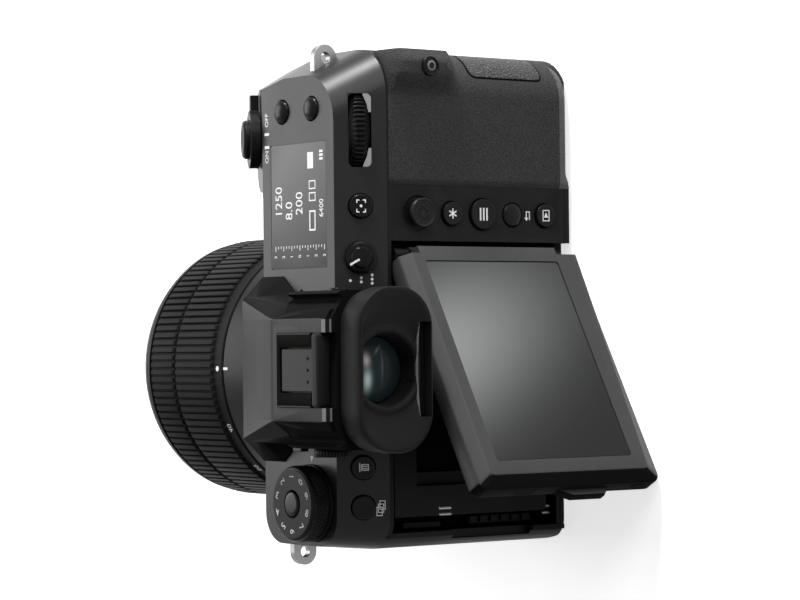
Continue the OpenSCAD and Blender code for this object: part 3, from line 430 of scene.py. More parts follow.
# %% Folds of the hump
LAND_Y, LAND_END, SHOE_HALF = 26.8, 36.6, 10.6
ROOF_Y, ROOF_HALF, NOSE_Y, NOSE_HALF = 10.8, 14.3, -21.0, 20.2
ROOF_Z, ROOF_FALL, ROOF_SKIN, FOLD_SKIN = 102.0, 0.346, 2.5, 1.0
FOLD_HIGHLIGHT, BEND, SOFT_FOLD = 0.3, 0.6, 70


def fold_at(y):
    """Half width of the roof between its folds."""
    return ROOF_HALF + (NOSE_HALF - ROOF_HALF) * min(1, max(0, (ROOF_Y - y) / (ROOF_Y - NOSE_Y)))


def roof_at(y):
    """Height of the CAD's roof."""
    return ROOF_Z - max(0, ROOF_Y - y) * ROOF_FALL


hump = bpy.data.objects["viewfinder_hump_part"]
work = bmesh.new()
work.from_mesh(hump.data)
lean = Vector((ROOF_Y - NOSE_Y, NOSE_HALF - ROOF_HALF, 0)).normalized()
cuts = [((0, y), (0, 1, 0)) for y in (ROOF_Y, LAND_Y, LAND_END)]
for side in (-1, 1):
    for edge in (0, FOLD_HIGHLIGHT):
        cuts += [((side * (ROOF_HALF + edge), ROOF_Y), normal) for normal in ((1, 0, 0), (side * lean.x, lean.y, 0))]
for (x, y), normal in cuts:
    bmesh.ops.bisect_plane(work, geom=work.verts[:] + work.edges[:] + work.faces[:], dist=1e-6,
                           plane_co=(x * MM, y * MM, 0), plane_no=normal)
for vert in work.verts:
    x, y, z = vert.co / MM
    if abs(x) > fold_at(y) and z > roof_at(y) - ROOF_SKIN:
        vert.co.z -= BEND * (abs(x) - fold_at(y)) * MM
print("hump folded over", len(cuts), "cuts")

# %% Painted shade and highlights of the hump
PAINTED_SHADE_SIDE, PAINTED_SHEEN, PAINTED_CHAMFER_HIGHLIGHT = 1, 2, 3
for face in work.faces:
    x, y, z = face.calc_center_median() / MM
    out = abs(x) - fold_at(y)
    if 0 < out < FOLD_HIGHLIGHT and z > roof_at(y) - FOLD_SKIN and y < LAND_END:
        face.material_index = PAINTED_SHEEN
    elif out > 0 or z < roof_at(y) - ROOF_SKIN - 0.1:
        face.material_index = PAINTED_SHADE_SIDE
    elif y > LAND_END and abs(x) > SHOE_HALF and face.normal.z > 0.3:
        face.material_index = PAINTED_CHAMFER_HIGHLIGHT
    elif y > LAND_Y and abs(x) > SHOE_HALF:
        face.material_index = PAINTED_SHEEN
work.to_mesh(hump.data)
smooth(hump.data, CAST)
work.clear()
work.from_mesh(hump.data)
for edge in work.edges:
    if all(face.material_index == PAINTED_SHADE_SIDE for face in edge.link_faces) and edge.calc_face_angle(pi) < radians(SOFT_FOLD):
        edge.smooth = True
work.to_mesh(hump.data)
work.free()
# Finishes for the painted shade, the painted sheen and the painted highlight, in the order of their indices
for material in (painted_shade_paint, land_paint, bright_edge):
    hump.data.materials.append(material)
print("hump faces", len(hump.data.polygons))

# %% [markdown]
# ## Shapes from loops
#
# Many parts of the camera are skins drawn over a row of closed outlines: the screen housing, the eyecup, turned
# buttons, and the cutters that carve other parts. `skin_over` joins such outlines with quads, and caps or closes the
# ends. Filling a mesh by hand could give the same, but with outlines each rim and bevel is one readable line.

# %% Places and outlines
def at(x, y, z, *turns):
    """Matrix in millimetres: turns are (axis, degrees) pairs, the last one acting first."""
    matrix = Matrix.Translation((x, y, z))
    for axis, angle in turns:
        matrix = matrix @ Matrix.Rotation(radians(angle), 4, axis)
    return matrix


def inset(span, by):
    """A (low, high) span made smaller at both ends."""
    return span[0] + by, span[1] - by


def round_box(u, v, r, steps=6):
    """Outline of a box with round corners, as (u, v) points in millimetres."""
    points = []
    for cu, cv, start in ((u[1] - r, v[0] + r, -90), (u[1] - r, v[1] - r, 0), (u[0] + r, v[1] - r, 90),
                          (u[0] + r, v[0] + r, 180)):
        for i in range(steps + 1):
            turn = radians(start + 90 * i / steps)
            points.append((cu + r * cos(turn), cv + r * sin(turn)))
    return points


def circle(r, count, centre=(0, 0)):
    """Outline of a circle as points in millimetres."""
    turns = [2 * pi * i / count for i in range(count)]
    return [(centre[0] + r * cos(turn), centre[1] + r * sin(turn)) for turn in turns]


# %% Skins over outlines
TIP_R = 0.01


def skin_over(work, loops, ring=False, material=0):
    """Quads between loops of millimetre points; the ends are capped or joined to a ring."""
    rows = [[work.verts.new(Vector(p) * MM) for p in loop] for loop in loops]
    count = len(rows[0])
    pairs = list(zip(rows, rows[1:])) + ([(rows[-1], rows[0])] if ring else [])
    faces = [work.faces.new((a[i], a[(i + 1) % count], b[(i + 1) % count], b[i]))
             for a, b in pairs for i in range(count)]
    if not ring:
        faces += [work.faces.new(rows[0][::-1]), work.faces.new(rows[-1])]
    for face in faces:
        face.material_index = material


def raised(work, place, points, heights, material=0):
    """Solid between copies of one flat outline at several heights of a local frame."""
    skin_over(work, [[place @ Vector((x, y, h)) for x, y in points] for h in heights], material=material)


def turned(work, profile, place, count=48, ring=False, material=0):
    """Turned solid from (radius, height) pairs round the z axis of a place."""
    skin_over(work, [[place @ Vector((x, y, h)) for x, y in circle(max(r, TIP_R), count)] for r, h in profile], ring,
              material)


def solid(profile, count=48, place=Matrix(), ring=False):
    """Work mesh of one turned solid."""
    work = bmesh.new()
    turned(work, profile, place, count, ring)
    return work


def block(work, low, high, place=Matrix()):
    """Box between two corners of a local frame."""
    (a, b, c), (d, e, f) = low, high
    raised(work, place, ((a, b), (d, b), (d, e), (a, e)), (c, f))


# %% Closing and cutting
def close_mesh(work, name, *materials, angle=SHARP):
    """Turn all faces outwards and make the mesh an object."""
    bmesh.ops.recalc_face_normals(work, faces=work.faces)
    mesh = bpy.data.meshes.new(name)
    work.to_mesh(mesh)
    work.free()
    smooth(mesh, angle)
    return link_mesh(name, mesh, *materials)


def cut_away(piece, work, angle=SHARP):
    """Take the solid in a work mesh away from a piece."""
    cutter = close_mesh(work, "cutter")
    cut = piece.modifiers.new("cut", "BOOLEAN")
    cut.object, cut.operation, cut.solver = cutter, "DIFFERENCE", "EXACT"
    settle(piece)
    smooth(piece.data, angle)
    bpy.data.objects.remove(cutter)


def carve(piece, *boxes):
    """Cut away boxes given by two corners in millimetres and a place."""
    for box in boxes:
        work = bmesh.new()
        block(work, *box)
        cut_away(piece, work)


# %% [markdown]
# The lower left edge of the body is well rounded, and so is the lower edge behind the grip, while the CAD keeps both
# straight. A quarter round is cut off the covers that meet there.

# %% Round two lower edges
BACK_Y, FOOT_X, HEEL_X = 22.8, 52.8, -53.2
FOOT_R, HEEL_R, ARC_STEPS = 6.0, 4.0, 10


def quarter_round(name, place, *stations):
    """Cut a quarter round off a part; the place stands on the edge, x is outward, stations are (y, radius)."""
    loops, turns = [], [pi / 2 * i / ARC_STEPS for i in range(ARC_STEPS + 1)]
    for y, r in stations:
        arc = [(-r + r * cos(turn), r - r * sin(turn)) for turn in turns]
        loops.append([place @ Vector((x, y, z)) for x, z in arc + [(-r, -1.0), (1.0, -1.0), (1.0, r)]])
    work = bmesh.new()
    skin_over(work, loops)
    part = bpy.data.objects[name]
    cut_away(part, work, CAST)
    print(name, len(part.data.polygons), "faces")


for name in ("base_plate_part", "rear_cover_part", "front_cover_part"):
    quarter_round(name, at(FOOT_X, -30, 0), (0, FOOT_R), (60, FOOT_R))
for name in ("base_plate_part", "rear_cover_part"):
    quarter_round(name, at(HEEL_X, BACK_Y, 0, ("Z", 90)), (0, 0.05), (5.5, HEEL_R), (45, HEEL_R))

# %% [markdown]
# The hollow behind the screen is given a blacker, duller finish than the shell round it, as painted shade. It belongs
# to the rear cover, so the faces inside the opening get a second finish.

# %% Screen recess
RECESS_X, RECESS_Y, RECESS_Z = (-0.0374, 0.0482), 0.0224, 0.0678
shell = bpy.data.objects["rear_cover_part"].data
shell.materials.append(black_and_painted_shade)
# Painted shade: faces inside the hollow take the blacker finish
for face in shell.polygons:
    x, y, z = face.center
    if RECESS_X[0] < x < RECESS_X[1] and y < RECESS_Y and z < RECESS_Z:
        face.material_index = 1
print("recess faces", sum(face.material_index for face in shell.polygons))

# %% [markdown]
# Parts inside the body are hardly ever seen, only past an open door or through the lens. They keep their CAD
# solids and get the finish of what they are: cast alloy, circuit board, battery wrap, coated glass.

# %% Inner parts keep their solids
INNER = {
    "chassis": alloy, "shutter_unit": dark_steel, "image_sensor": gloss_black, "main_board": board_green,
    "battery": button_black, "card_socket": steel, "viewfinder_block": black_and_painted_shade, "cover_screws": dark_steel,
    "rear_element": lens_glass,
}
for node, material in INNER.items():
    NODES[node].data.materials.clear()
    NODES[node].data.materials.append(material)
print("inner parts", len(INNER))

# %% [markdown]
# ## The screen
#
# The monitor is a thin moulded tray on a side hinge, shown swung out by thirty degrees. Wide bevels run round its
# face, and the lower one widens toward the free end. It could be the CAD housing with a bevel, but the bevels
# differ from side to side, so it is a skin over eleven outlines, drawn in the tray's own frame: along, out, up.

# %% Tray
panel = at(-33.2, 21.5, 0, ("Z", 30))
TRAY_A, TRAY_Z, TRAY_END = (-0.6, 79.0), (0.5, 67.0), 78.9
FACE_Z, FACE_OUT, FACE_MID = (4.0, 63.5), 5.36, 30
SLANT_LOW, SLANT_RISE = -1.8, 3.4 / 75
GLASS_A, GLASS_Z, GLASS_GAP = (5.3, 71.3), (10.3, 59.7), 0.12


def tray_loop(a, z, r, out, slant=False):
    """Outline on the tray; a slanted one has its lower side drawn down at the hinge and up at the free end."""
    loop = []
    for u, v in round_box(a, z, r):
        if slant and v < FACE_MID:
            v += SLANT_LOW + SLANT_RISE * u
        loop.append(panel @ Vector((u, out, v)))
    return loop


opening = inset(GLASS_A, -GLASS_GAP), inset(GLASS_Z, -GLASS_GAP), 0.9
TRAY_LOOPS = (
    (inset(TRAY_A, 1.2), inset(TRAY_Z, 1.2), 2.0, -3.14), (inset(TRAY_A, 0.35), inset(TRAY_Z, 0.35), 2.6, -2.7),
    (TRAY_A, TRAY_Z, 2.8, -1.9), (TRAY_A, TRAY_Z, 2.8, 2.45), ((-0.5, 78.8), inset(TRAY_Z, 0.15), 2.7, 2.8),
    ((-0.1, 78.3), inset(TRAY_Z, 0.5), 2.5, 3.12), ((0.1, 76.2), inset(FACE_Z, -0.45), 1.8, 5.02, True),
    ((0.3, 75.7), inset(FACE_Z, -0.1), 1.5, 5.26, True), ((0.6, 75.2), inset(FACE_Z, 0.35), 1.3, FACE_OUT, True),
    (*opening, FACE_OUT), (*opening, 3.90))
work = bmesh.new()
skin_over(work, [tray_loop(*loop) for loop in TRAY_LOOPS])
tray = close_mesh(work, "screen_tray", screen_rim, painted_shade_paint, angle=28)
print("tray over", len(TRAY_LOOPS), "outlines")

# %% Hinge, tab and pads of the tray
EAR_TOP, EAR_BOTTOM, EAR_R = 60.7, 9.6, 2.2


def tray_pad(work, points, high):
    """Low pad on the free end of the tray, from (out, up) points."""
    skin_over(work, [[panel @ Vector((TRAY_END + d, out, up)) for out, up in points] for d in (0, high)])


carve(tray, ((-9, -9, EAR_TOP), (2.6, 9, 80), panel), ((-9, -9, -5), (2.6, 9, EAR_BOTTOM), panel))
work = bmesh.new()
work.from_mesh(tray.data)
turned(work, [(EAR_R - 0.3, EAR_BOTTOM), (EAR_R, EAR_BOTTOM + 0.3), (EAR_R, EAR_TOP - 0.3), (EAR_R - 0.3, EAR_TOP)],
       panel, 32)
pull_tab = ((77.0, 16.8), (81.2, 20.8), (81.2, 32.5), (77.0, 43.0))
skin_over(work, [[panel @ Vector((a - t, out, z)) for a, z in pull_tab]
                 for out, t in ((-2.74, 0.5), (-2.24, 0), (-0.24, 0), (0.26, 0.5))])
tray_pad(work, ((-1.6, 46.0), (1.4, 46.0), (1.4, 52.6), (-1.6, 52.6)), 0.18)
tray_pad(work, round_box((-1.2, 0.9), (4.4, 9.6), 1.0, 4), 0.3)
bmesh.ops.recalc_face_normals(work, faces=work.faces)
work.to_mesh(tray.data)
work.free()
smooth(tray.data, 28)
free_end = panel.to_3x3() @ Vector((1, 0, 0))
# Painted shade: faces toward the free end take the darker paint, since no lamp lights that side
for face in tray.data.polygons:
    face.material_index = int(face.normal.dot(free_end) > 0.3)
mount(tray, "screen", "plastic", "screen_housing")

# %% [markdown]
# The display itself is a dark panel behind glass with a painted reflection on it: a soft grey glow, brightest near
# the top edge and fading toward the lower free corner, that stands in for the soft box mirrored in the glass. The glow
# is a round gradient around a point of the panel, in Object coordinates, and it glows by itself, so that it looks the
# same from every side.

# %% Painted glows
def painted_glow_glass(name, dark, *glows):
    """Dark glass with painted glows that stand in for light and reflections: each is a colour, a middle in millimetres
    and two half widths as vectors.
    """
    material = finish(name, 0.006, 0.2, spread=0.03, lift=1.1, Emission_Strength=1.0, **RUBBER)
    tree = material.node_tree
    where, below = new_node(tree, "ShaderNodeTexCoord"), None
    for bright, middle, *halves in glows:
        offset = new_node(tree, "ShaderNodeVectorMath", operation="SUBTRACT", input_1=Vector(middle) * MM)
        total = new_node(tree, "ShaderNodeMath", operation="ADD")
        wire(tree, (where, "Object", offset, 0))
        for number, half in enumerate(map(Vector, halves)):
            part = new_node(tree, "ShaderNodeVectorMath", operation="DOT_PRODUCT",
                            input_1=half / (half.length_squared * MM))
            square = new_node(tree, "ShaderNodeMath", operation="POWER", input_1=2.0)
            wire(tree, (offset, 0, part, 0), (part, "Value", square, 0), (square, 0, total, number))
        scaled = new_node(tree, "ShaderNodeMath", operation="MULTIPLY", input_1=-0.5)
        bell = new_node(tree, "ShaderNodeMath", operation="EXPONENT")
        mix = new_node(tree, "ShaderNodeMix", data_type="RGBA", A=(*dark, 1), B=(*bright, 1))
        wire(tree, (total, 0, scaled, 0), (scaled, 0, bell, 0), (bell, 0, mix, "Factor"))
        if below:
            wire(tree, (below, "Result", mix, "A"))
        below = mix
    wire(tree, (below, "Result", tree.nodes["Principled BSDF"], "Emission Color"))
    return material


# %% Display
def on_panel(along, up):
    """Direction on the tray in the frame of the camera."""
    return panel.to_3x3() @ Vector((along, 0, up))


# Painted reflection: the glow stands in for the soft box mirrored in the display glass
display = painted_glow_glass("display_glass", (0.022, 0.022, 0.023),
                  ((0.300, 0.310, 0.310), panel @ Vector((36.6, FACE_OUT, 68.3)), on_panel(13.5, -6.6),
                   on_panel(14.5, 29.8)))
work = bmesh.new()
skin_over(work, [tray_loop(inset(GLASS_A, b), inset(GLASS_Z, b), 0.7, out)
                 for b, out in ((GLASS_GAP, 3.96), (GLASS_GAP, 5.06), (0.2, 5.16), (0.35, 5.18))])
mount(close_mesh(work, "screen_display", display, angle=50), "screen", "gloss", "screen_glass")
print("display", round(GLASS_A[1] - GLASS_A[0], 1), "x", round(GLASS_Z[1] - GLASS_Z[0], 1), "mm")

# %% [markdown]
# The small monitor on the shoulder is a reflective panel under a flat window. Its light is painted: a glow that is
# brighter toward the grip, where the lamp falls on it.

# %% Shoulder monitor
def stepped_box(work, u, v, r, levels, place=Matrix(), steps=3, ease=0, material=0):
    """Box with round corners in a local frame; levels are (inset, height) pairs, ease narrows inset corners."""
    skin_over(work, [[place @ Vector((x, y, h)) for x, y in round_box(inset(u, b), inset(v, b), r - ease * b, steps)]
                     for b, h in levels], material=material)


SHOULDER = 83.0
# Painted light: the panel glows by itself, brighter toward the grip
readout = painted_glow_glass("readout_glass", (0.036,) * 3, ((0.18,) * 3, (-74, -16, 83), (30, 0, 0), (0, 60, 0)))
work = bmesh.new()
stepped_box(work, (-66.6, -29.6), (-17.0, 12.2), 0.6, ((0.05, -1.1), (0.05, -0.2), (0.12, -0.06), (0.3, 0)),
            at(0, 0, SHOULDER))
mount(close_mesh(work, "shoulder_monitor", readout, angle=50), "camera", "gloss", "sub_monitor_window")

# %% [markdown]
# ## Thumb rest
#
# The back of the grip is one soft rubber skin. It swells into a ridge by the upper outer corner, where the thumb
# hooks in, and the swelling dies away downward. A sculpted mesh would do, but a rule is easier to tune: the skin is
# a grid over the rear outline, and its height is a step across the corner times a fade from top to bottom. Its lower
# edge rolls in under the body and takes a lighter rubber, a painted reflection of the floor. A patch of coarser
# pebbling lies on a dark sheet, painted shade for a groove round it, on the outer corner.

# %% Height of the rubber
GRIP_X, CORNER_R, OUTLINE_R = -94.0, 14.0, 10
THUMB_Z, RIDGE_HIGH, ROLL_R = (1.0, 68.3), 4.1, 3.4
RIDGE_RISE, RIDGE_FALL, RIDGE_SIDE, RIDGE_END = (41, 49), (64, 69), (-86.5, -79.5), (GRIP_X - 1.5, GRIP_X + 5.0)
SKIN_EDGE, ROLL_EDGE = (53.6, 54.6), (53.7, 58.5)
SKIN_DEEP, SKIN_PROUD, SEAM = 0.8, 0.9, 0.05


def fade_in(value, low, high):
    """Smooth step from 0 to 1 between two values."""
    t = min(1, max(0, (value - low) / (high - low)))
    return t * t * (3 - 2 * t)


def round_off(way, r):
    """How far a circle has fallen below its tangent after some way along it."""
    return r - sqrt(max(0.0, r * r - way * way))


def thumb_height(x, z):
    """Body surface and rubber surface (y, y) at a place on the back."""
    base = BACK_Y - round_off(min(0.0, x - GRIP_X - CORNER_R), CORNER_R)
    ridge = fade_in(z, *RIDGE_RISE) * (1 - 0.5 * fade_in(z, *RIDGE_FALL))
    crown = BACK_Y + 0.8 + RIDGE_HIGH * (1 - fade_in(x, *RIDGE_SIDE)) * fade_in(x, *RIDGE_END)
    top = base + SKIN_PROUD + (crown - base - SKIN_PROUD) * ridge
    roll = round_off(max(0.0, ROLL_R - (z - THUMB_Z[0]) - 0.2) * fade_in(-x, *ROLL_EDGE), ROLL_R)
    return base - SKIN_DEEP - roll, base + SEAM + (top - base - SEAM) * fade_in(-x, *SKIN_EDGE) - roll


print("rubber from y", [round(y, 2) for y in thumb_height(-90, 56)], "at the ridge")

# %% Skin behind the grip
SKIN_START, COLUMNS, ROWS, RIM = -53.7, 90, 80, 0.7


def thumb_point(i, j):
    """Point of the skin as x, inner y, outer y and z; both outer corners are round in the view from behind."""
    x = SKIN_START + (GRIP_X + 0.7 - SKIN_START) * (i / COLUMNS) ** 0.8
    bow = round_off(max(0.0, GRIP_X + OUTLINE_R - x), OUTLINE_R)
    low, high = THUMB_Z[0] + bow, THUMB_Z[1] - 0.25 * bow
    z = low + (high - low) * (j / ROWS) ** 1.25
    inner, outer = thumb_height(x, z)
    rim = min(1.0, (high - z) / RIM, (z - low) / RIM)
    return x, inner, inner + 0.6 + (outer - inner - 0.6) * (0.3 + 0.7 * sqrt(max(0, rim))), z


def two_sided(across, along, point):
    """Closed sheet over a grid; the faces of its two sides come first, then its rim."""
    work, grid = bmesh.new(), {}
    for i in range(across + 1):
        for j in range(along + 1):
            x, *ys, z = point(i, j)
            grid[i, j, 0], grid[i, j, 1] = (work.verts.new(Vector((x, y, z)) * MM) for y in ys)
    for i in range(across):
        for j in range(along):
            for side in (0, 1):
                work.faces.new([grid[i + a, j + b, side] for a, b in ((0, 0), (1, 0), (1, 1), (0, 1))])
    rims = [((i, j), (i + 1, j)) for i in range(across) for j in (0, along)]
    rims += [((i, j), (i, j + 1)) for j in range(along) for i in (0, across)]
    for a, b in rims:
        work.faces.new((grid[*a, 0], grid[*b, 0], grid[*b, 1], grid[*a, 1]))
    return work


work = two_sided(COLUMNS, ROWS, thumb_point)
# The rolled lower edge gets the lighter rubber, a painted reflection of the floor
for face in list(work.faces)[:2 * COLUMNS * ROWS]:
    face.material_index = int(face.verts[0].co.z < (THUMB_Z[0] + ROLL_R) * MM)
thumb_rest = close_mesh(work, "thumb_rest", thumb_skin, roll_painted_highlight, angle=42)
mount(thumb_rest, "camera", "rubber", "thumb_rubber")
print("thumb rest", [[round(c / MM, 1) for c in p] for p in (thumb_rest.bound_box[0], thumb_rest.bound_box[6])])

# %% Coarse patch
PATCH_Z, PATCH_X, PATCH_COLUMNS, PATCH_ROWS = (10.6, 37.6), -86.4, 24, 40


def lay_patch(name, x, z, r, lift, material):
    """Thin sheet that follows the thumb rest, with two rounded corners on its inner side."""
    def point(i, j):
        u = x[0] + (x[1] - x[0]) * i / PATCH_COLUMNS
        bow = round_off(max(0.0, u - x[1] + r), r)
        v = z[0] + bow + (z[1] - z[0] - 2 * bow) * j / PATCH_ROWS
        outer = thumb_height(u, v)[1]
        rim = 0.12 if i in (0, PATCH_COLUMNS) or j in (0, PATCH_ROWS) else 0
        return u, outer - 0.5, outer + lift - rim, v

    work = two_sided(PATCH_COLUMNS, PATCH_ROWS, point)
    mount(close_mesh(work, name, material, angle=42), "camera", "rubber")


# Painted shade: a dark sheet just larger than the patch stands for the shade of a groove round it
lay_patch("thumb_patch_groove", (-93.2, PATCH_X + 0.55), inset(PATCH_Z, -0.55), 2.5, 0.18, black_and_painted_shade)
lay_patch("thumb_patch", (-93.25, PATCH_X), PATCH_Z, 2.0, 0.38, patch_skin)

# %% [markdown]
# On the ridge sits a small round button with a dark polished cap; the bright ring on it is a painted highlight.

# %% Quick button
QUICK = at(-88.2, 23.4, 56.6, ("X", -90))
work = solid([(2.9, 0.05), (3.0, 0.15), (3.0, 4.7), (2.9, 5.0), (2.65, 5.15), (2.4, 5.05), (2.25, 4.8), (2.0, 4.85),
              (1.4, 5.1), (0.7, 5.25), (0, 5.3)], 40, QUICK)
# Painted highlight: a ring of pale paint on the cap
turned(work, [(1.45, 4.9), (1.5, 5.18), (1.25, 5.32), (0.95, 5.34), (0.95, 4.9)], QUICK, 40, True, 1)
mount(close_mesh(work, "quick_button_cap", button_black, bright_edge, angle=45), "quick_menu_button", "plastic",
      "quick_menu_button")

# %% [markdown]
# ## Eyecup and eyepiece
#
# The rubber cup is a long rounded frame with a dished face and a round mouth. Its outlines change from a long
# rounded box to a circle, so every loop is cast from the middle at the same angles and no quad is twisted. A slot
# for the eye sensor and a small notch beside the mouth are cut afterwards.

# %% Outlines of the eyecup
EYE_Z, MOUTH_Z = 86.6, 86.9
CUP_X, CUP_Z = 23.4, (72.8, 98.5)
CUP_COUNT = 96


def cast_box(half, z, r, y):
    """Loop of a rounded box, cast from the eyepiece axis at equal angles."""
    loop = []
    for x, up in circle(1, CUP_COUNT):
        far, near = 40.0, 0.0
        for _ in range(40):
            mid = (far + near) / 2
            dx = max(0, abs(mid * x) - half + r)
            dz = max(0, z[0] + r - EYE_Z - mid * up, EYE_Z + mid * up - z[1] + r)
            far, near = (mid, near) if sqrt(dx * dx + dz * dz) > r else (far, mid)
        loop.append((near * x, y, EYE_Z + near * up))
    return loop


def cup_ring(r, y):
    """Loop of a circle round the eyepiece, flattened where it would leave the cup's upper side."""
    return [(x, y, min(z, CUP_Z[1] - 1.6)) for x, z in circle(r, CUP_COUNT, (0, MOUTH_Z))]


def between(a, b, t, y):
    """Loop part of the way from one loop to another."""
    return [(p[0] + (q[0] - p[0]) * t, y, p[2] + (q[2] - p[2]) * t) for p, q in zip(a, b)]


# %% Eyecup
CUP_SIDE = ((1.6, 1.2, 9.6, 39.56), (0.7, 0.5, 10.6, 40.2), (0.2, 0.1, 11.2, 42.5), (0, 0, 11.4, 46.6),
            (0.05, 0.05, 11.4, 49.2), (0.3, 0.3, 11.2, 49.7), (0.8, 0.8, 11.0, 49.9))
CUP_FACE = ((0.0, 49.8), (0.15, 49.45), (0.4, 48.75), (0.7, 47.8), (0.92, 46.9), (1.0, 46.75))
CUP_MOUTH = ((12.5, 46.85), (12.0, 47.25), (11.4, 47.4), (10.8, 47.25), (10.3, 46.7), (10.0, 45.6), (9.8, 43.6),
             (9.7, 41.4), (9.7, 39.56))
BAR_X, BAR_Z = 13.4, (73.6, 76.8)
rim, mouth = cast_box(CUP_X - 1.4, inset(CUP_Z, 1.4), 10.4, 0), cup_ring(12.9, 0)
work = bmesh.new()
skin_over(work, [cast_box(CUP_X - bx, inset(CUP_Z, bz), r, y) for bx, bz, r, y in CUP_SIDE]
          + [between(rim, mouth, t, y) for t, y in CUP_FACE] + [cup_ring(r, y) for r, y in CUP_MOUTH], True)
cup = close_mesh(work, "eyecup_rubber_frame", cup_rubber, angle=50)
carve(cup, ((-BAR_X, 30, BAR_Z[0]), (BAR_X, 60, BAR_Z[1])), ((-3.6, 42.2, BAR_Z[1] + 0.5), (3.6, 60, 80.0)))
mount(cup, "camera", "rubber", "eyecup")

# %% Painted highlight on the lip of the sensor slot
LIP_LOW, LIP_RISE = 46.95, 1.1
work = bmesh.new()
lip = [(x, LIP_LOW + LIP_RISE * (x / BAR_X) ** 2) for x in (BAR_X * 0.99 * i / 6 for i in range(-6, 7))]
skin_over(work, [[(x, y + dy, BAR_Z[1] + dz) for dy, dz in ((0.12, -0.5), (0.12, 0.05), (-0.7, 0.05), (-0.7, -0.5))]
                 for x, y in lip])
mount(close_mesh(work, "eye_sensor_lip", bright_edge), "camera", "plastic")

# %% [markdown]
# The eyepiece glass is strongly curved. The soft reflections of the studio's windows in it are painted reflections,
# glows of its own like the painted reflection on the display, since the room here has no windows. It is a turned lens
# with a round front.

# %% Eyepiece lens
def domed(r, low, high, steps):
    """Profile of a dome from its rim to its top."""
    turns = [pi / 2 * i / steps for i in range(steps + 1)]
    return [(r * cos(turn), low + (high - low) * sin(turn)) for turn in turns]


GLASS_R, GLASS_LOW, GLASS_TOP = 9.3, 8.6, 11.6
work = solid([(7.0, 0.1), (7.3, 0.4), (7.3, 8.2), (GLASS_R - 0.4, 8.3)] + domed(GLASS_R, GLASS_LOW, GLASS_TOP, 14),
             64, at(0, 31.5, MOUTH_Z, ("X", -90)))
# Painted reflections: five soft glows on dark glass
glint = painted_glow_glass("eyepiece_glint", (0.0015, 0.003, 0.0035),
                ((0.006, 0.011, 0.012), (0, 42, 87.5), (6.0, 0, 0), (0, 0, 3.8)),
                ((0.032, 0.042, 0.042), (-0.6, 42, 85.8), (2.6, 0, 0), (0, 0, 0.26)),
                ((0.045, 0.052, 0.052), (-5.4, 42, 87.3), (0.7, 0, 0.65), (-0.17, 0, 0.18)),
                ((0.24, 0.21, 0.21), (-2.6, 42, 90.9), (1.2, 0, 0), (0, 0, 0.75)),
                ((0.26, 0.33, 0.33), (2.9, 42, 90.6), (1.8, 0, 0.3), (0, 0, 0.85)))
mount(close_mesh(work, "eyepiece_glass_element", glint, angle=60), "camera", "glass", "eyepiece_lens")

# %% [markdown]
# ## Everything that goes round
#
# Lens ribs, dial knurls and wheel teeth are all the same thing: one small blank, repeated round an axis. Modelling
# each by an array modifier would work too, but one Geometry Nodes tree with named inputs serves them all. It takes
# the smooth body, adds Count turned copies of the Blank and gives the whole a Material.

# %% Geometry Nodes: a ring of blanks
def ring_of_blanks():
    """Tree that joins a body with Count copies of a blank, spread over the angle Sweep round z."""
    tree = bpy.data.node_groups.new("ring_of_blanks", "GeometryNodeTree")
    for label, kind in (("Body", "Geometry"), ("Blank", "Object"), ("Count", "Int"), ("Sweep", "Float"),
                        ("Material", "Material")):
        tree.interface.new_socket(label, in_out="INPUT", socket_type="NodeSocket" + kind)
    tree.interface.new_socket("Geometry", in_out="OUTPUT", socket_type="NodeSocketGeometry")
    given, result, points, blank, index, spread, join, real, colour, axis = (new_node(tree, kind) for kind in (
        "NodeGroupInput", "NodeGroupOutput", "GeometryNodePoints", "GeometryNodeObjectInfo", "GeometryNodeInputIndex",
        "GeometryNodeInstanceOnPoints", "GeometryNodeJoinGeometry", "GeometryNodeRealizeInstances",
        "GeometryNodeSetMaterial", "ShaderNodeCombineXYZ"))
    step = new_node(tree, "ShaderNodeMath", operation="DIVIDE")
    turn = new_node(tree, "ShaderNodeMath", operation="MULTIPLY")
    wire(tree, (given, "Count", points, "Count"), (given, "Blank", blank, "Object"), (given, "Sweep", step, 0),
         (given, "Count", step, 1), (index, 0, turn, 0), (step, 0, turn, 1), (turn, 0, axis, "Z"),
         (points, 0, spread, "Points"), (blank, "Geometry", spread, "Instance"), (axis, 0, spread, "Rotation"),
         (spread, 0, join, 0), (given, "Body", join, 0), (join, 0, real, 0), (real, 0, colour, "Geometry"),
         (given, "Material", colour, "Material"), (colour, 0, result, 0))
    return tree


RING_TREE = ring_of_blanks()
RING_SOCKETS = {item.name: item.identifier for item in RING_TREE.interface.items_tree if item.in_out == "INPUT"}
print("ring tree with", list(RING_SOCKETS))


# %% Ribs and their ring
def rib(stations, half, low):
    """Rib with round shoulders; stations are (height, top radius) pairs, low is the radius of its foot."""
    work = bmesh.new()
    skin_over(work, [[(low, -half, h), (top - 0.2, -half + 0.05, h), (top, -half + 0.22, h), (top, half - 0.22, h),
                      (top - 0.2, half - 0.05, h), (low, half, h)] for h, top in stations])
    return work


def repeat_round(name, body, blank, count, place, material, sweep=2 * pi):
    """Body and blank are work meshes round local z; the result is a plain mesh at its place."""
    piece, part = close_mesh(body, name, material, angle=30), close_mesh(blank, name + "_blank", angle=30)
    ring = piece.modifiers.new("ring", "NODES")
    ring.node_group = RING_TREE
    for label, value in (("Blank", part), ("Count", count), ("Sweep", sweep), ("Material", material)):
        ring[RING_SOCKETS[label]] = value
    settle(piece)
    bpy.data.objects.remove(part)
    in_metres = place.copy()
    in_metres.translation *= MM
    piece.data.transform(in_metres)
    print(name, count, "x", len(piece.data.polygons) // count, "faces")
    return piece


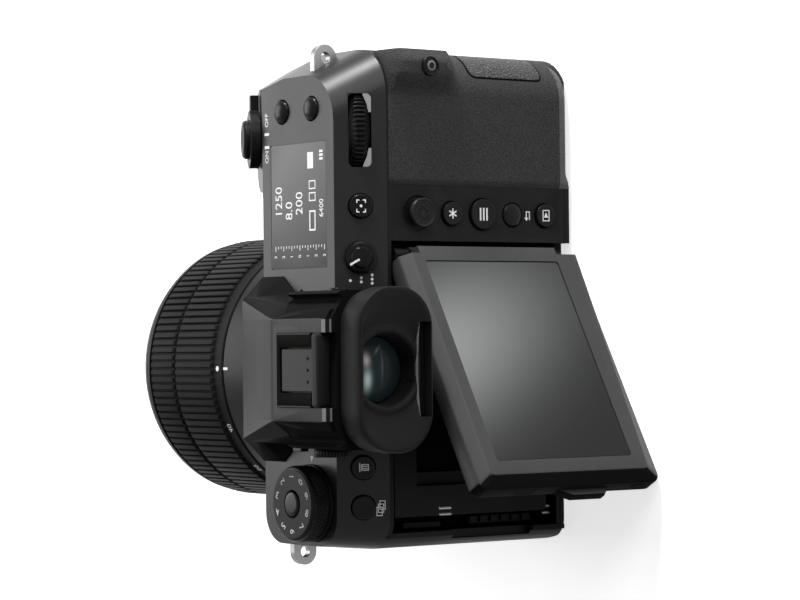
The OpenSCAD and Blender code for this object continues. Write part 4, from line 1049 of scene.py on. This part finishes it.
# %% [markdown]
# ## Lens rings
#
# Zoom and focus ring are bands of rubber with flat ribs and narrow grooves, each with a smooth lip. The ribs slope
# down at their front ends, and this slope catches the light as a row of beads.

# %% Zoom and focus rings
LENS_Z, RIBS, RIB_HALF, RING_BORE = 43.0, 110, 0.86, 38.45
LENS = at(0, 0, LENS_Z, ("X", 90))
LENS_RINGS = {
    "zoom_ring": (((RING_BORE, 44.8), (40.1, 44.8), (40.4, 45.1), (40.4, 49.3), (40.6, 49.5), (40.6, 71.3),
                   (40.2, 71.8), (RING_BORE, 71.8)), ((49.5, 41.0), (50.0, 41.5), (69.9, 41.5), (71.5, 40.8)), 40.4),
    "focus_ring": (((RING_BORE, 72.2), (40.2, 72.2), (40.45, 72.5), (40.45, 86.1), (40.2, 86.5), (RING_BORE, 86.5)),
                   ((72.4, 40.9), (72.9, 41.3), (84.6, 41.3), (86.2, 40.7)), 40.3),
}
for node, (profile, stations, foot) in LENS_RINGS.items():
    ring = repeat_round(node + "_rubber", solid(profile, 96, ring=True), rib(stations, RIB_HALF, foot), RIBS, LENS,
                        ring_rubber)
    mount(ring, node, "rubber", node)

# %% [markdown]
# ## Dials
#
# The rear and front wheels lie in slots, with only a part of the rim outside. The mode dial stands on the shoulder:
# its rim is covered with rows of small points and its top carries plain numbers round a lock button.

# %% Frames on the band, the slope and the back
BAND_TILT, BAND_MID, BAND_FOOT = 25.9, 7.78, 69
SLOPE_TILT, SLOPE_Y = 28, -21.4


def on_band(x, s=BAND_MID):
    """Frame on the tilted band above the back, at a way s up from its foot."""
    tilt = radians(BAND_TILT)
    return at(x, BACK_Y - s * sin(tilt), BAND_FOOT + s * cos(tilt), ("X", BAND_TILT - 90))


def on_slope(x, s):
    """Frame on the slope in front of the shoulder, at a way s down from its top."""
    tilt = radians(SLOPE_TILT)
    return at(x, SLOPE_Y - s * cos(tilt), SHOULDER - s * sin(tilt), ("X", SLOPE_TILT))


def on_back(x, z):
    """Frame on the flat back."""
    return at(x, BACK_Y, z, ("X", -90))


# %% Wheels
DIAL_X, REAR_R, FRONT_R = -69.3, 13.0, 12.6


def wheel(node, place, r, high, teeth):
    """Toothed wheel with chamfered rims."""
    body = solid([(2, 0), (r - 3.6, 0), (r - 0.9, 1.6), (r - 0.75, 2.0), (r - 0.75, high - 1.6), (r - 0.9, high - 1.2),
                  (r - 2.6, high), (2, high)], 72, ring=True)
    tooth = rib([(1.0, r - 1.5), (1.9, r - 0.1), (2.2, r), (high - 1.9, r), (high - 1.5, r - 0.1),
                 (high - 0.7, r - 1.3)], 0.30 * 2 * pi * r / teeth, r - 1.9)
    mount(repeat_round(node + "_wheel", body, tooth, teeth, place, dial_black), node, "plastic", node)


wheel("rear_dial", on_band(DIAL_X) @ at(0, 3, 3.5 - REAR_R, ("X", 90)), REAR_R, 6.0, 56)
wheel("front_dial", on_slope(-69.5, 12.97) @ at(0, 0, -10.6), FRONT_R, 5.0, 52)

# %% [markdown]
# Printed marks are thin closed solids that stand a few hundredths of a millimetre proud. Numbers come from the
# built-in font. Everything on this camera is read from behind, so labels face the same way as their buttons.

# %% Letters
PRINT_THICK = 0.05


def print_text(work, text, size, place, narrow=1.0, material=0):
    """Solid letters in the middle of a place whose x runs to the right and y up."""
    curve = bpy.data.curves.new("letters", "FONT")
    curve.body, curve.size, curve.extrude, curve.resolution_u = text, size, PRINT_THICK, 3
    curve.align_x, curve.align_y = "CENTER", "CENTER"
    holder = link_object("letters", curve)
    bpy.context.view_layer.update()
    mesh = bpy.data.meshes.new_from_object(holder.evaluated_get(bpy.context.evaluated_depsgraph_get()))
    bpy.data.objects.remove(holder)
    letters = bmesh.new()
    letters.from_mesh(mesh)
    bmesh.ops.remove_doubles(letters, verts=letters.verts, dist=1e-4)
    for vert in letters.verts:
        vert.co = place @ Vector((vert.co.x * narrow, vert.co.y, vert.co.z)) * MM
    for face in letters.faces:
        face.material_index = material
    letters.to_mesh(mesh)
    letters.free()
    work.from_mesh(mesh)
    bpy.data.meshes.remove(mesh)


# %% Shapes, bars and frames
def print_shape(work, points, place, material=0):
    """Printed shape from an outline."""
    raised(work, place, points, (-PRINT_THICK, PRINT_THICK), material)


def print_bar(work, x, y, place, material=0):
    """Printed bar between two x and two y values."""
    print_shape(work, [(x[0], y[0]), (x[1], y[0]), (x[1], y[1]), (x[0], y[1])], place, material)


def print_frame(work, x, y, place, line):
    """Printed outline of a box."""
    for bar in ((x, (y[0], y[0] + line)), (x, (y[1] - line, y[1])),
                ((x[0], x[0] + line), inset(y, line)), ((x[1] - line, x[1]), inset(y, line))):
        print_bar(work, *bar, place)


def facing_back(place):
    """A surface frame turned so that x and y run to the right and up for the photographer."""
    return place @ Matrix.Rotation(pi, 4, "Z")


def reopen(piece, *materials):
    """Work mesh of a piece that gets more finishes."""
    for material in materials:
        piece.data.materials.append(material)
    work = bmesh.new()
    work.from_mesh(piece.data)
    return work


# %% Rim of the mode dial
MODE, MODE_HIGH = at(39.2, 3.4, SHOULDER), 7.2
KNURLS, KNURL_ROWS, KNURL_STEP, KNURL_HALF, KNURL_R = 66, 5, 0.94, 0.46, 10.8
body = solid([(4, -4.4), (4, 0.3), (11.2, 0.3), (11.4, 0.5), (11.4, 0.9), (11.2, 1.1), (KNURL_R, 1.2), (KNURL_R, 5.9),
              (11.0, 6.0), (11.0, 6.3), (10.75, 6.75), (10.5, 6.95), (10.2, 7.0), (9.9, MODE_HIGH), (4.2, MODE_HIGH),
              (3.95, MODE_HIGH - 0.25), (3.9, 1.6)], 72)
blank = bmesh.new()
for row in range(KNURL_ROWS):
    low, side = 1.2 + KNURL_STEP * row, row % 2 * pi * KNURL_R / KNURLS
    foot = [blank.verts.new(Vector((KNURL_R - 0.1, side + a * KNURL_HALF, low + b * KNURL_STEP)) * MM)
            for a, b in ((-1, 0), (1, 0), (1, 1), (-1, 1))]
    tip = blank.verts.new(Vector((KNURL_R + 0.45, side, low + KNURL_STEP / 2)) * MM)
    blank.faces.new(foot)
    for i in range(4):
        blank.faces.new((foot[i], foot[(i + 1) % 4], tip))
dial = repeat_round("mode_dial_knurled", body, blank, KNURLS, MODE, dial_black)
print("mode dial with", KNURLS * KNURL_ROWS, "points")

# %% Numbers and lock of the mode dial
work = reopen(dial, white_print)
for i in range(10):
    spot = MODE @ at(0, 0, MODE_HIGH, ("Z", 180 + 36 * i)) @ at(8, 0, 0)
    print_text(work, str((i + 1) % 10), 3.1, spot, material=1)
work.to_mesh(dial.data)
work.free()
mount(dial, "mode_dial", "plastic", "mode_dial")

work = solid([(3.5, 3.0), (3.6, 3.1), (3.6, 7.1), (3.5, 7.4), (3.2, 7.56), (2.4, 7.6), (0, 7.6)], place=MODE)
mount(close_mesh(work, "mode_dial_lock_button", button_black, angle=50), "mode_dial_lock", "plastic", "mode_dial_lock")

# %% [markdown]
# ## Buttons
#
# Every button is a turned plunger with a collar inside the wall, so that it cannot fall out. The two on the top
# plate are domed, the ones on the back and on the rear band are slightly dished. Their signs are plain pictures:
# a play triangle, a bin, a list, a star, a focus frame. They ride on the button and move with it.

# %% Push button
def dished(r, out):
    """Profile of a cap with a round rim and a shallow dip."""
    return [(r, out - 0.4), (r - 0.1, out - 0.15), (r - 0.35, out), (r - 0.6, out - 0.02), (0.6 * r, out - 0.12),
            (0.3 * r, out - 0.17), (0, out - 0.18)]


def push(node, place, r, crown, draw=None):
    """Push button on a surface frame; draw prints a sign on a dished crown."""
    work = solid([(r + 0.8, -3.8), (r + 0.8, -2.8), (r, -2.8)] + crown, place=place)
    if draw:
        plain, top = len(work.faces), max(h for _, h in crown)
        draw(work, facing_back(place @ at(0, 0, top - 0.1)))
        for face in list(work.faces)[plain:]:
            face.material_index = 1
    mount(close_mesh(work, node + "_cap", button_black, white_print, angle=40), node, "plastic", node)


# %% Signs
def sign_play(work, spot):
    print_frame(work, (-1.7, 1.7), (-1.3, 1.3), spot, 0.28)
    print_shape(work, [(-0.6, -0.75), (0.9, 0), (-0.6, 0.75)], spot)


def sign_bin(work, spot):
    print_frame(work, (-0.95, 0.95), (-1.5, 0.7), spot, 0.28)
    print_bar(work, (-1.3, 1.3), (1.0, 1.3), spot)
    for x in (-0.3, 0.3):
        print_bar(work, (x - 0.12, x + 0.12), (-1.1, 0.4), spot)


def sign_list(work, spot):
    for y in (-1.2, 0, 1.2):
        print_bar(work, (-1.9, 1.9), (y - 0.26, y + 0.26), spot)


def sign_star(work, spot):
    for turn in (0, 60, 120):
        print_bar(work, (-1.5, 1.5), (-0.2, 0.2), spot @ at(0, 0, 0.01 * turn / 60, ("Z", turn)))


def sign_focus(work, spot):
    for sx in (-1, 1):
        for sy in (-1, 1):
            print_bar(work, sorted((sx * 0.9, sx * 1.9)), sorted((sy * 1.1, sy * 1.42)), spot)
            print_bar(work, sorted((sx * 1.58, sx * 1.9)), sorted((sy * 0.5, sy * 1.1)), spot)
    print_shape(work, circle(0.4, 12), spot)


# %% Buttons in their places
BUTTON_R, MENU_R, BACK_OUT, BAND_OUT, COLUMN_X = 3.5, 4.6, 1.0, 1.1, -45.4
for node, y in (("top_button_front", -10.6), ("top_button_rear", 4.8)):
    push(node, at(-76.3, y, SHOULDER), BUTTON_R, domed(BUTTON_R, 0.0, 1.6, 8))
push("ael_button", on_back(COLUMN_X, 45.7), BUTTON_R, dished(BUTTON_R, BACK_OUT), sign_star)
push("menu_button", on_back(COLUMN_X, 34.2), MENU_R, dished(MENU_R, BACK_OUT), sign_list)
push("back_button", on_back(COLUMN_X, 22.8), BUTTON_R, domed(BUTTON_R, 0.0, BACK_OUT, 8))
push("playback_button", on_back(COLUMN_X, 10.4), BUTTON_R, dished(BUTTON_R, BACK_OUT), sign_play)
push("af_on_button", on_band(-47.2), BUTTON_R, dished(BUTTON_R, BAND_OUT), sign_focus)
push("delete_button", on_band(28.5), BUTTON_R, dished(BUTTON_R, BAND_OUT), sign_bin)
push("drive_button", on_band(40.1), BUTTON_R, dished(BUTTON_R, BAND_OUT))

# %% [markdown]
# ## Marks on the body
#
# The small monitor on the shoulder shows numbers and an exposure scale. Round the controls there are a few index
# marks, and the power switch has its two words. All of them are one piece of white print.

# %% Readout of the small monitor
SCALE_X, SCALE_Y, SCALE_STEP = -36.4, -14.6, 1.42
POWER_Y = -18.9


def on_top(x, y, *turns):
    """Frame on the top plate at a place of the camera's own x and y, with further turns."""
    return facing_back(at(x, y, SHOULDER)) @ at(0, 0, 0, *turns)


work = bmesh.new()
for text, size, x, y, narrow in (
        ("1250", 5.0, -49.6, -12.6, 0.92), ("8.0", 5.0, -46.8, -7.2, 0.92), ("200", 5.0, -48.8, -1.8, 0.92),
        ("6400", 3.0, -47.0, 9.6, 0.9), ("ON", 2.4, -63.4, POWER_Y, 1), ("OFF", 2.4, -74.4, POWER_Y, 1)):
    print_text(work, text, size, on_top(x, y), narrow)
for x, y, across, up, line in ((-43.5, 4.9, 3, 1.6, 0.5), (-50.5, 4.9, 1.3, 1.7, 0.35), (-54.0, 4.9, 1.3, 1.7, 0.35)):
    print_frame(work, (-across, across), (-up, up), on_top(x, y), line)
for x, y, across, up in ((-61.2, 4.0, 2.4, 1.5), (-61.4, 9.6, 0.35, 0.9), (-62.5, 9.6, 0.35, 0.9),
                         (-63.6, 9.6, 0.35, 0.9), (-66.3, POWER_Y, 0.4, 1.2), (-70.2, POWER_Y, 0.4, 1.2)):
    print_bar(work, (-across, across), (-up, up), on_top(x, y))
for i in range(19):
    print_bar(work, (-0.14, 0.14), (0, 0.8 if i % 3 else 1.5), on_top(SCALE_X, SCALE_Y + SCALE_STEP * i, ("Z", 90)))
for i, number in enumerate("3210123"):
    print_text(work, number, 1.9, on_top(-33.2, SCALE_Y + 3 * SCALE_STEP * i))
print("readout", len(work.faces), "faces")

# %% Index marks
print_shape(work, [(-0.8, -0.9), (0.8, -0.9), (0, 0.9)], on_top(26.4, 3.4, ("Z", 90)))
print_shape(work, circle(0.7, 16), on_top(37.8, -12.6))
for i in range(3):
    spot = facing_back(on_band(-25.6 - 0.2 * i, BAND_MID + 3.2 - 3.2 * i))
    for k in range(i + 1):
        print_shape(work, circle(0.42, 12), spot @ at(0.6 * i - 1.2 * k, 0, 0))
    print_frame(work, (-1.5, 1.2), (-0.9, 0.9), facing_back(on_band(39.4 + 0.9 * i, 2.2 + 0.45 * i)), 0.26)
back_sign = facing_back(on_back(COLUMN_X, 16.9))
for x, y in (((-1.4, 1.2), (-0.9, -0.6)), ((0.9, 1.2), (-0.6, 0.6)), ((-0.8, 0.9), (0.3, 0.6))):
    print_bar(work, x, y, back_sign)
print_shape(work, [(-0.7, -0.3), (-0.7, 1.2), (-1.7, 0.45)], back_sign)
mount(close_mesh(work, "white_marks", white_print), "camera", "paint")

# %% [markdown]
# ## Stick and focus switch
#
# The focus stick is a flat knob in a round seat, and rings of small dots give the thumb hold. The switch on the
# rear band is a round disc with a raised middle, a row of grip lines and a white index. Both copy the CAD's pivots.

# %% Focus stick
body = solid([(2.3, -3.4), (2.3, 0.9), (3.6, 1.0), (4.3, 1.7), (4.35, 2.6), (4.1, 2.95), (3.9, 3.0), (3.6, 2.75),
              (0, 2.65)], 48)
blank = bmesh.new()
for r in (1.4, 2.2, 3.0):
    turned(blank, [(0.26, 2.4), (0.24, 2.8), (0.12, 2.95), (0, 2.97)], at(r, 0.12 * r, 0), 6)
mount(repeat_round("focus_stick_knob", body, blank, 16, on_back(COLUMN_X, 57.8), land_paint), "focus_stick", "plastic",
      "focus_stick")

# %% Focus switch
SWITCH = on_band(-32.2)
body = solid([(2.0, -3.4), (2.0, 0.3), (4.8, 0.3), (4.8, 1.2), (4.6, 1.6), (4.3, 1.75), (3.3, 1.8), (3.0, 2.4),
              (2.8, 2.6), (2.2, 2.7), (0, 2.7)], 56)
blank = bmesh.new()
block(blank, (4.2, -0.14, 0.6), (5.15, 0.14, 1.5))
switch = repeat_round("focus_switch_disc", body, blank, 7, SWITCH @ at(0, 0, 0, ("Z", 200)), button_black, radians(80))
work = reopen(switch, white_print)
print_bar(work, (1.0, 4.2), (-0.3, 0.3), SWITCH @ at(0, 0, 2.72, ("Z", -60)), 1)
work.to_mesh(switch.data)
work.free()
mount(switch, "focus_mode_switch", "plastic", "focus_mode_switch")

# %% [markdown]
# ## Lens marks
#
# The smooth lip of the zoom ring carries numbers and a dot, and a white line on the barrel is their index. The flat
# letters are wrapped round the lip, so they follow its curve.

# %% Numbers on the zoom ring
LIP_R, LIP_MID, BARREL_R = 40.4, 47.3, 40.0


def wrapped(work, name, r, body):
    """Bend flat print round the lens, x being the arc length and y the way along the axis."""
    for vert in work.verts:
        x, y, h = vert.co / MM
        vert.co = LENS @ Vector(((r + h) * sin(x / r), (r + h) * cos(x / r), y)) * MM
    mount(close_mesh(work, name, white_print), body, "paint")


work = bmesh.new()
for text, turn in (("40", 27), ("50", 50), ("60", 73)):
    print_text(work, text, 3.0, at(radians(turn) * LIP_R, LIP_MID, 0, ("Z", 180)))
print_shape(work, circle(0.8, 16), at(0, LIP_MID, 0))
wrapped(work, "zoom_numbers", LIP_R, "zoom_ring")
work = bmesh.new()
print_bar(work, (-0.4, 0.4), (LIP_MID - 5.2, LIP_MID - 2.8), Matrix())
wrapped(work, "zoom_index", BARREL_R, "camera")

# %% [markdown]
# ## Accessory shoe
#
# Black rails hold a slide-in cover. The cover is a plate with a thick, rounded finger bar behind the rails, and three
# small arrows show which way it slides out. The rails are the CAD's, cut back to where the bar begins, with a painted
# highlight along each: a thin strip of lighter paint.

# %% Shoe rails
BAR_Y, SHOE_TOP = 32.7, 103.0
carve(bpy.data.objects["hot_shoe_part"], ((-12, BAR_Y, 99.7), (12, 37, 105)))
# Painted highlight: a thin strip of lighter paint along each rail
work = bmesh.new()
for x in (-10.25, 10.25):
    block(work, (x - 0.16, 15.6, SHOE_TOP - 0.1), (x + 0.16, BAR_Y - 0.4, SHOE_TOP + 0.06))
mount(close_mesh(work, "shoe_rail_lines", land_paint), "camera", "steel")

# %% Shoe cover
work = bmesh.new()
block(work, (-9.1, 17.6, 99.9), (9.1, BAR_Y + 1.0, 101.3))
stepped_box(work, (-6.1, 6.1), (17.6, BAR_Y + 1.2), 0.5, ((0, 100.6), (0, 102.6), (0.2, 102.8)))
stepped_box(work, (-10.6, 10.6), (BAR_Y + 0.1, 36.6), 1.2, ((0.3, 99.0), (0, 99.4), (0, 102.4), (0.25, 102.95),
            (0.7, 103.2), (1.1, 103.25)), steps=5, ease=0.5, material=1)
for x in (-3.3, 0, 3.3):
    print_shape(work, [(-0.55, -0.4), (0.55, -0.4), (0, 0.6)], at(x, 30.9, 102.83), 2)
mount(close_mesh(work, "shoe_cover_slide", hump_paint, cover, black_and_painted_shade, angle=28), "hot_shoe_cover", "plastic",
      "hot_shoe_cover")

# %% [markdown]
# ## Front glass
#
# The front element bulges. The coloured rings round a dark pupil are painted reflections of the coatings of the glass
# inside, which a ramp over the distance from the lens axis paints, and a clear coat on top takes the sharp reflections
# of the lamps.

# %% Painted reflections of the lens
# Painted reflections: ring colours at fractions of the glass radius
STOPS = ((0.0, (0.001, 0.001, 0.002)), (0.27, (0.002, 0.002, 0.004)), (0.33, (0.030, 0.016, 0.060)),
         (0.45, (0.004, 0.010, 0.024)), (0.66, (0.006, 0.030, 0.036)), (0.80, (0.020, 0.010, 0.040)),
         (1.0, (0.002, 0.002, 0.005)))
painted_lens_reflections = finish("coated_front_glass", 0.004, 0.06, spread=0.02, Specular_IOR_Level=0.2, Coat_Weight=0.6,
                Coat_Roughness=0.03)
tree = painted_lens_reflections.node_tree
where, rings = new_node(tree, "ShaderNodeTexCoord"), new_node(tree, "ShaderNodeValToRGB")
from_axis = new_node(tree, "ShaderNodeVectorMath", operation="MULTIPLY_ADD", input_1=(1, 0, 1),
                     input_2=(0, 0, -LENS_Z * MM))
distance = new_node(tree, "ShaderNodeVectorMath", operation="LENGTH")
spread = new_node(tree, "ShaderNodeMapRange", From_Max=29 * MM)
while len(rings.color_ramp.elements) < len(STOPS):
    rings.color_ramp.elements.new(0.5)
for stop, (place, colour) in zip(rings.color_ramp.elements, STOPS):
    stop.position, stop.color = place, (*colour, 1)
wire(tree, (where, "Object", from_axis, 0), (from_axis, 0, distance, 0), (distance, "Value", spread, "Value"),
     (spread, "Result", rings, "Fac"), (rings, "Color", tree.nodes["Principled BSDF"], "Base Color"))
print("coating with", len(STOPS), "stops")

# %% Front element
GLASS_OUT, GLASS_FOOT, GLASS_EDGE, GLASS_BULGE, GLASS_STEPS = 28.9, 76.2, 78.4, 5.0, 16
ways = [i / GLASS_STEPS for i in range(GLASS_STEPS + 1)]
dome = [(GLASS_OUT * (1 - t), GLASS_EDGE + GLASS_BULGE * (1 - (1 - t) ** 2)) for t in ways]
work = solid([(GLASS_OUT, GLASS_FOOT)] + dome, 96, LENS)
mount(close_mesh(work, "front_glass_dome", painted_lens_reflections, angle=40), "front_barrel", "glass", "front_element")

# %% [markdown]
# ## Small works
#
# A few details complete the back: the round corners of the dial slot, chrome crescents in the slot that are a painted
# highlight of its lit wall, and dark discs that are painted shade for the sound holes in the hump.

# %% Details
SLOT = on_band(DIAL_X)
SLOT_X, SLOT_Y, SLOT_R = 10.78, 3.43, 1.7
crescent = ((5.2, 3.38), (5.2, 2.65), (6.4, 2.3), (7.4, 2.15), (8.4, 1.75), (9.4, 1.3), (10.2, 0.95), (10.65, 0.95),
            (10.65, 2.3), (10.45, 2.9), (10.0, 3.28), (9.4, 3.38))
fillet = [(SLOT_X, SLOT_Y)] + [(SLOT_X - SLOT_R * (1 - cos(a)), SLOT_Y - SLOT_R * (1 - sin(a)))
                               for a in map(radians, range(0, 91, 15))]
slot_painted_highlight, corners, holes = bmesh.new(), bmesh.new(), bmesh.new()
for side in (-1, 1):
    # Painted highlight: chrome crescents where the slot's wall catches the light
    raised(slot_painted_highlight, SLOT, [(side * x, y) for x, y in crescent], (-0.7, -0.12))
    for rim in (-1, 1):
        raised(corners, SLOT, [(side * x, rim * y) for x, y in fillet], (-0.3, 0.005))
    # Painted shade: shallow dark discs stand for the sound holes
    turned(holes, [(0.5, -0.3), (0.5, 0.05), (0.35, 0.06)], at(side * 22.9, 5.0, 87.4, ("Y", side * 38)), 16)
mount(close_mesh(slot_painted_highlight, "dial_slot_lining", chrome), "camera", "steel")
mount(close_mesh(corners, "dial_slot_corners", paint), "camera", "paint")
mount(close_mesh(holes, "sound_holes", black_and_painted_shade), "camera", "plastic")

# %% [markdown]
# ## Works in the hollow
#
# The hollow is not empty: one pair of bright pins lies on the tilt frame and one on the bosses of the tilt arm, and
# ribs and a row of small catches fill the lower rim. They are plain turned pins and blocks.

# %% Works in the hollow
FLOOR_Y, PIN_R, PIN_EDGE = 12.3, 0.55, 0.15
for name, body, xs, y, z, long in (("frame_pins", "tilt_frame", (41.6, 43.4), 17.72, 45.5, 4.6),
                                   ("boss_pins", "camera", (42.8, 44.9), 15.45, 5.4, 3.0)):
    work = bmesh.new()
    for x in xs:
        turned(work, [(PIN_R - PIN_EDGE, 0), (PIN_R, PIN_EDGE), (PIN_R, long - PIN_EDGE), (PIN_R - PIN_EDGE, long)],
               at(x, y, z - long / 2), 16)
    mount(close_mesh(work, name, chrome), body, "chrome")

work = bmesh.new()
for x, z in (((44.6, 47.2), (10.0, 34.0)), ((45.6, 47.6), (44.0, 58.0)), ((40.8, 43.2), (9.0, 14.0)),
             ((41.4, 42.6), (17.0, 36.0))):
    stepped_box(work, x, z, 0.5, ((0, 0.4), (0, -1.3), (0.25, -1.6)), at(0, FLOOR_Y, 0, ("X", 90)))
for z in range(12, 33, 4):
    block(work, (45.0, FLOOR_Y + 1.4, z), (46.6, FLOOR_Y + 2.4, z + 1.8))
mount(close_mesh(work, "hollow_ribs", frame_black), "camera", "plastic")
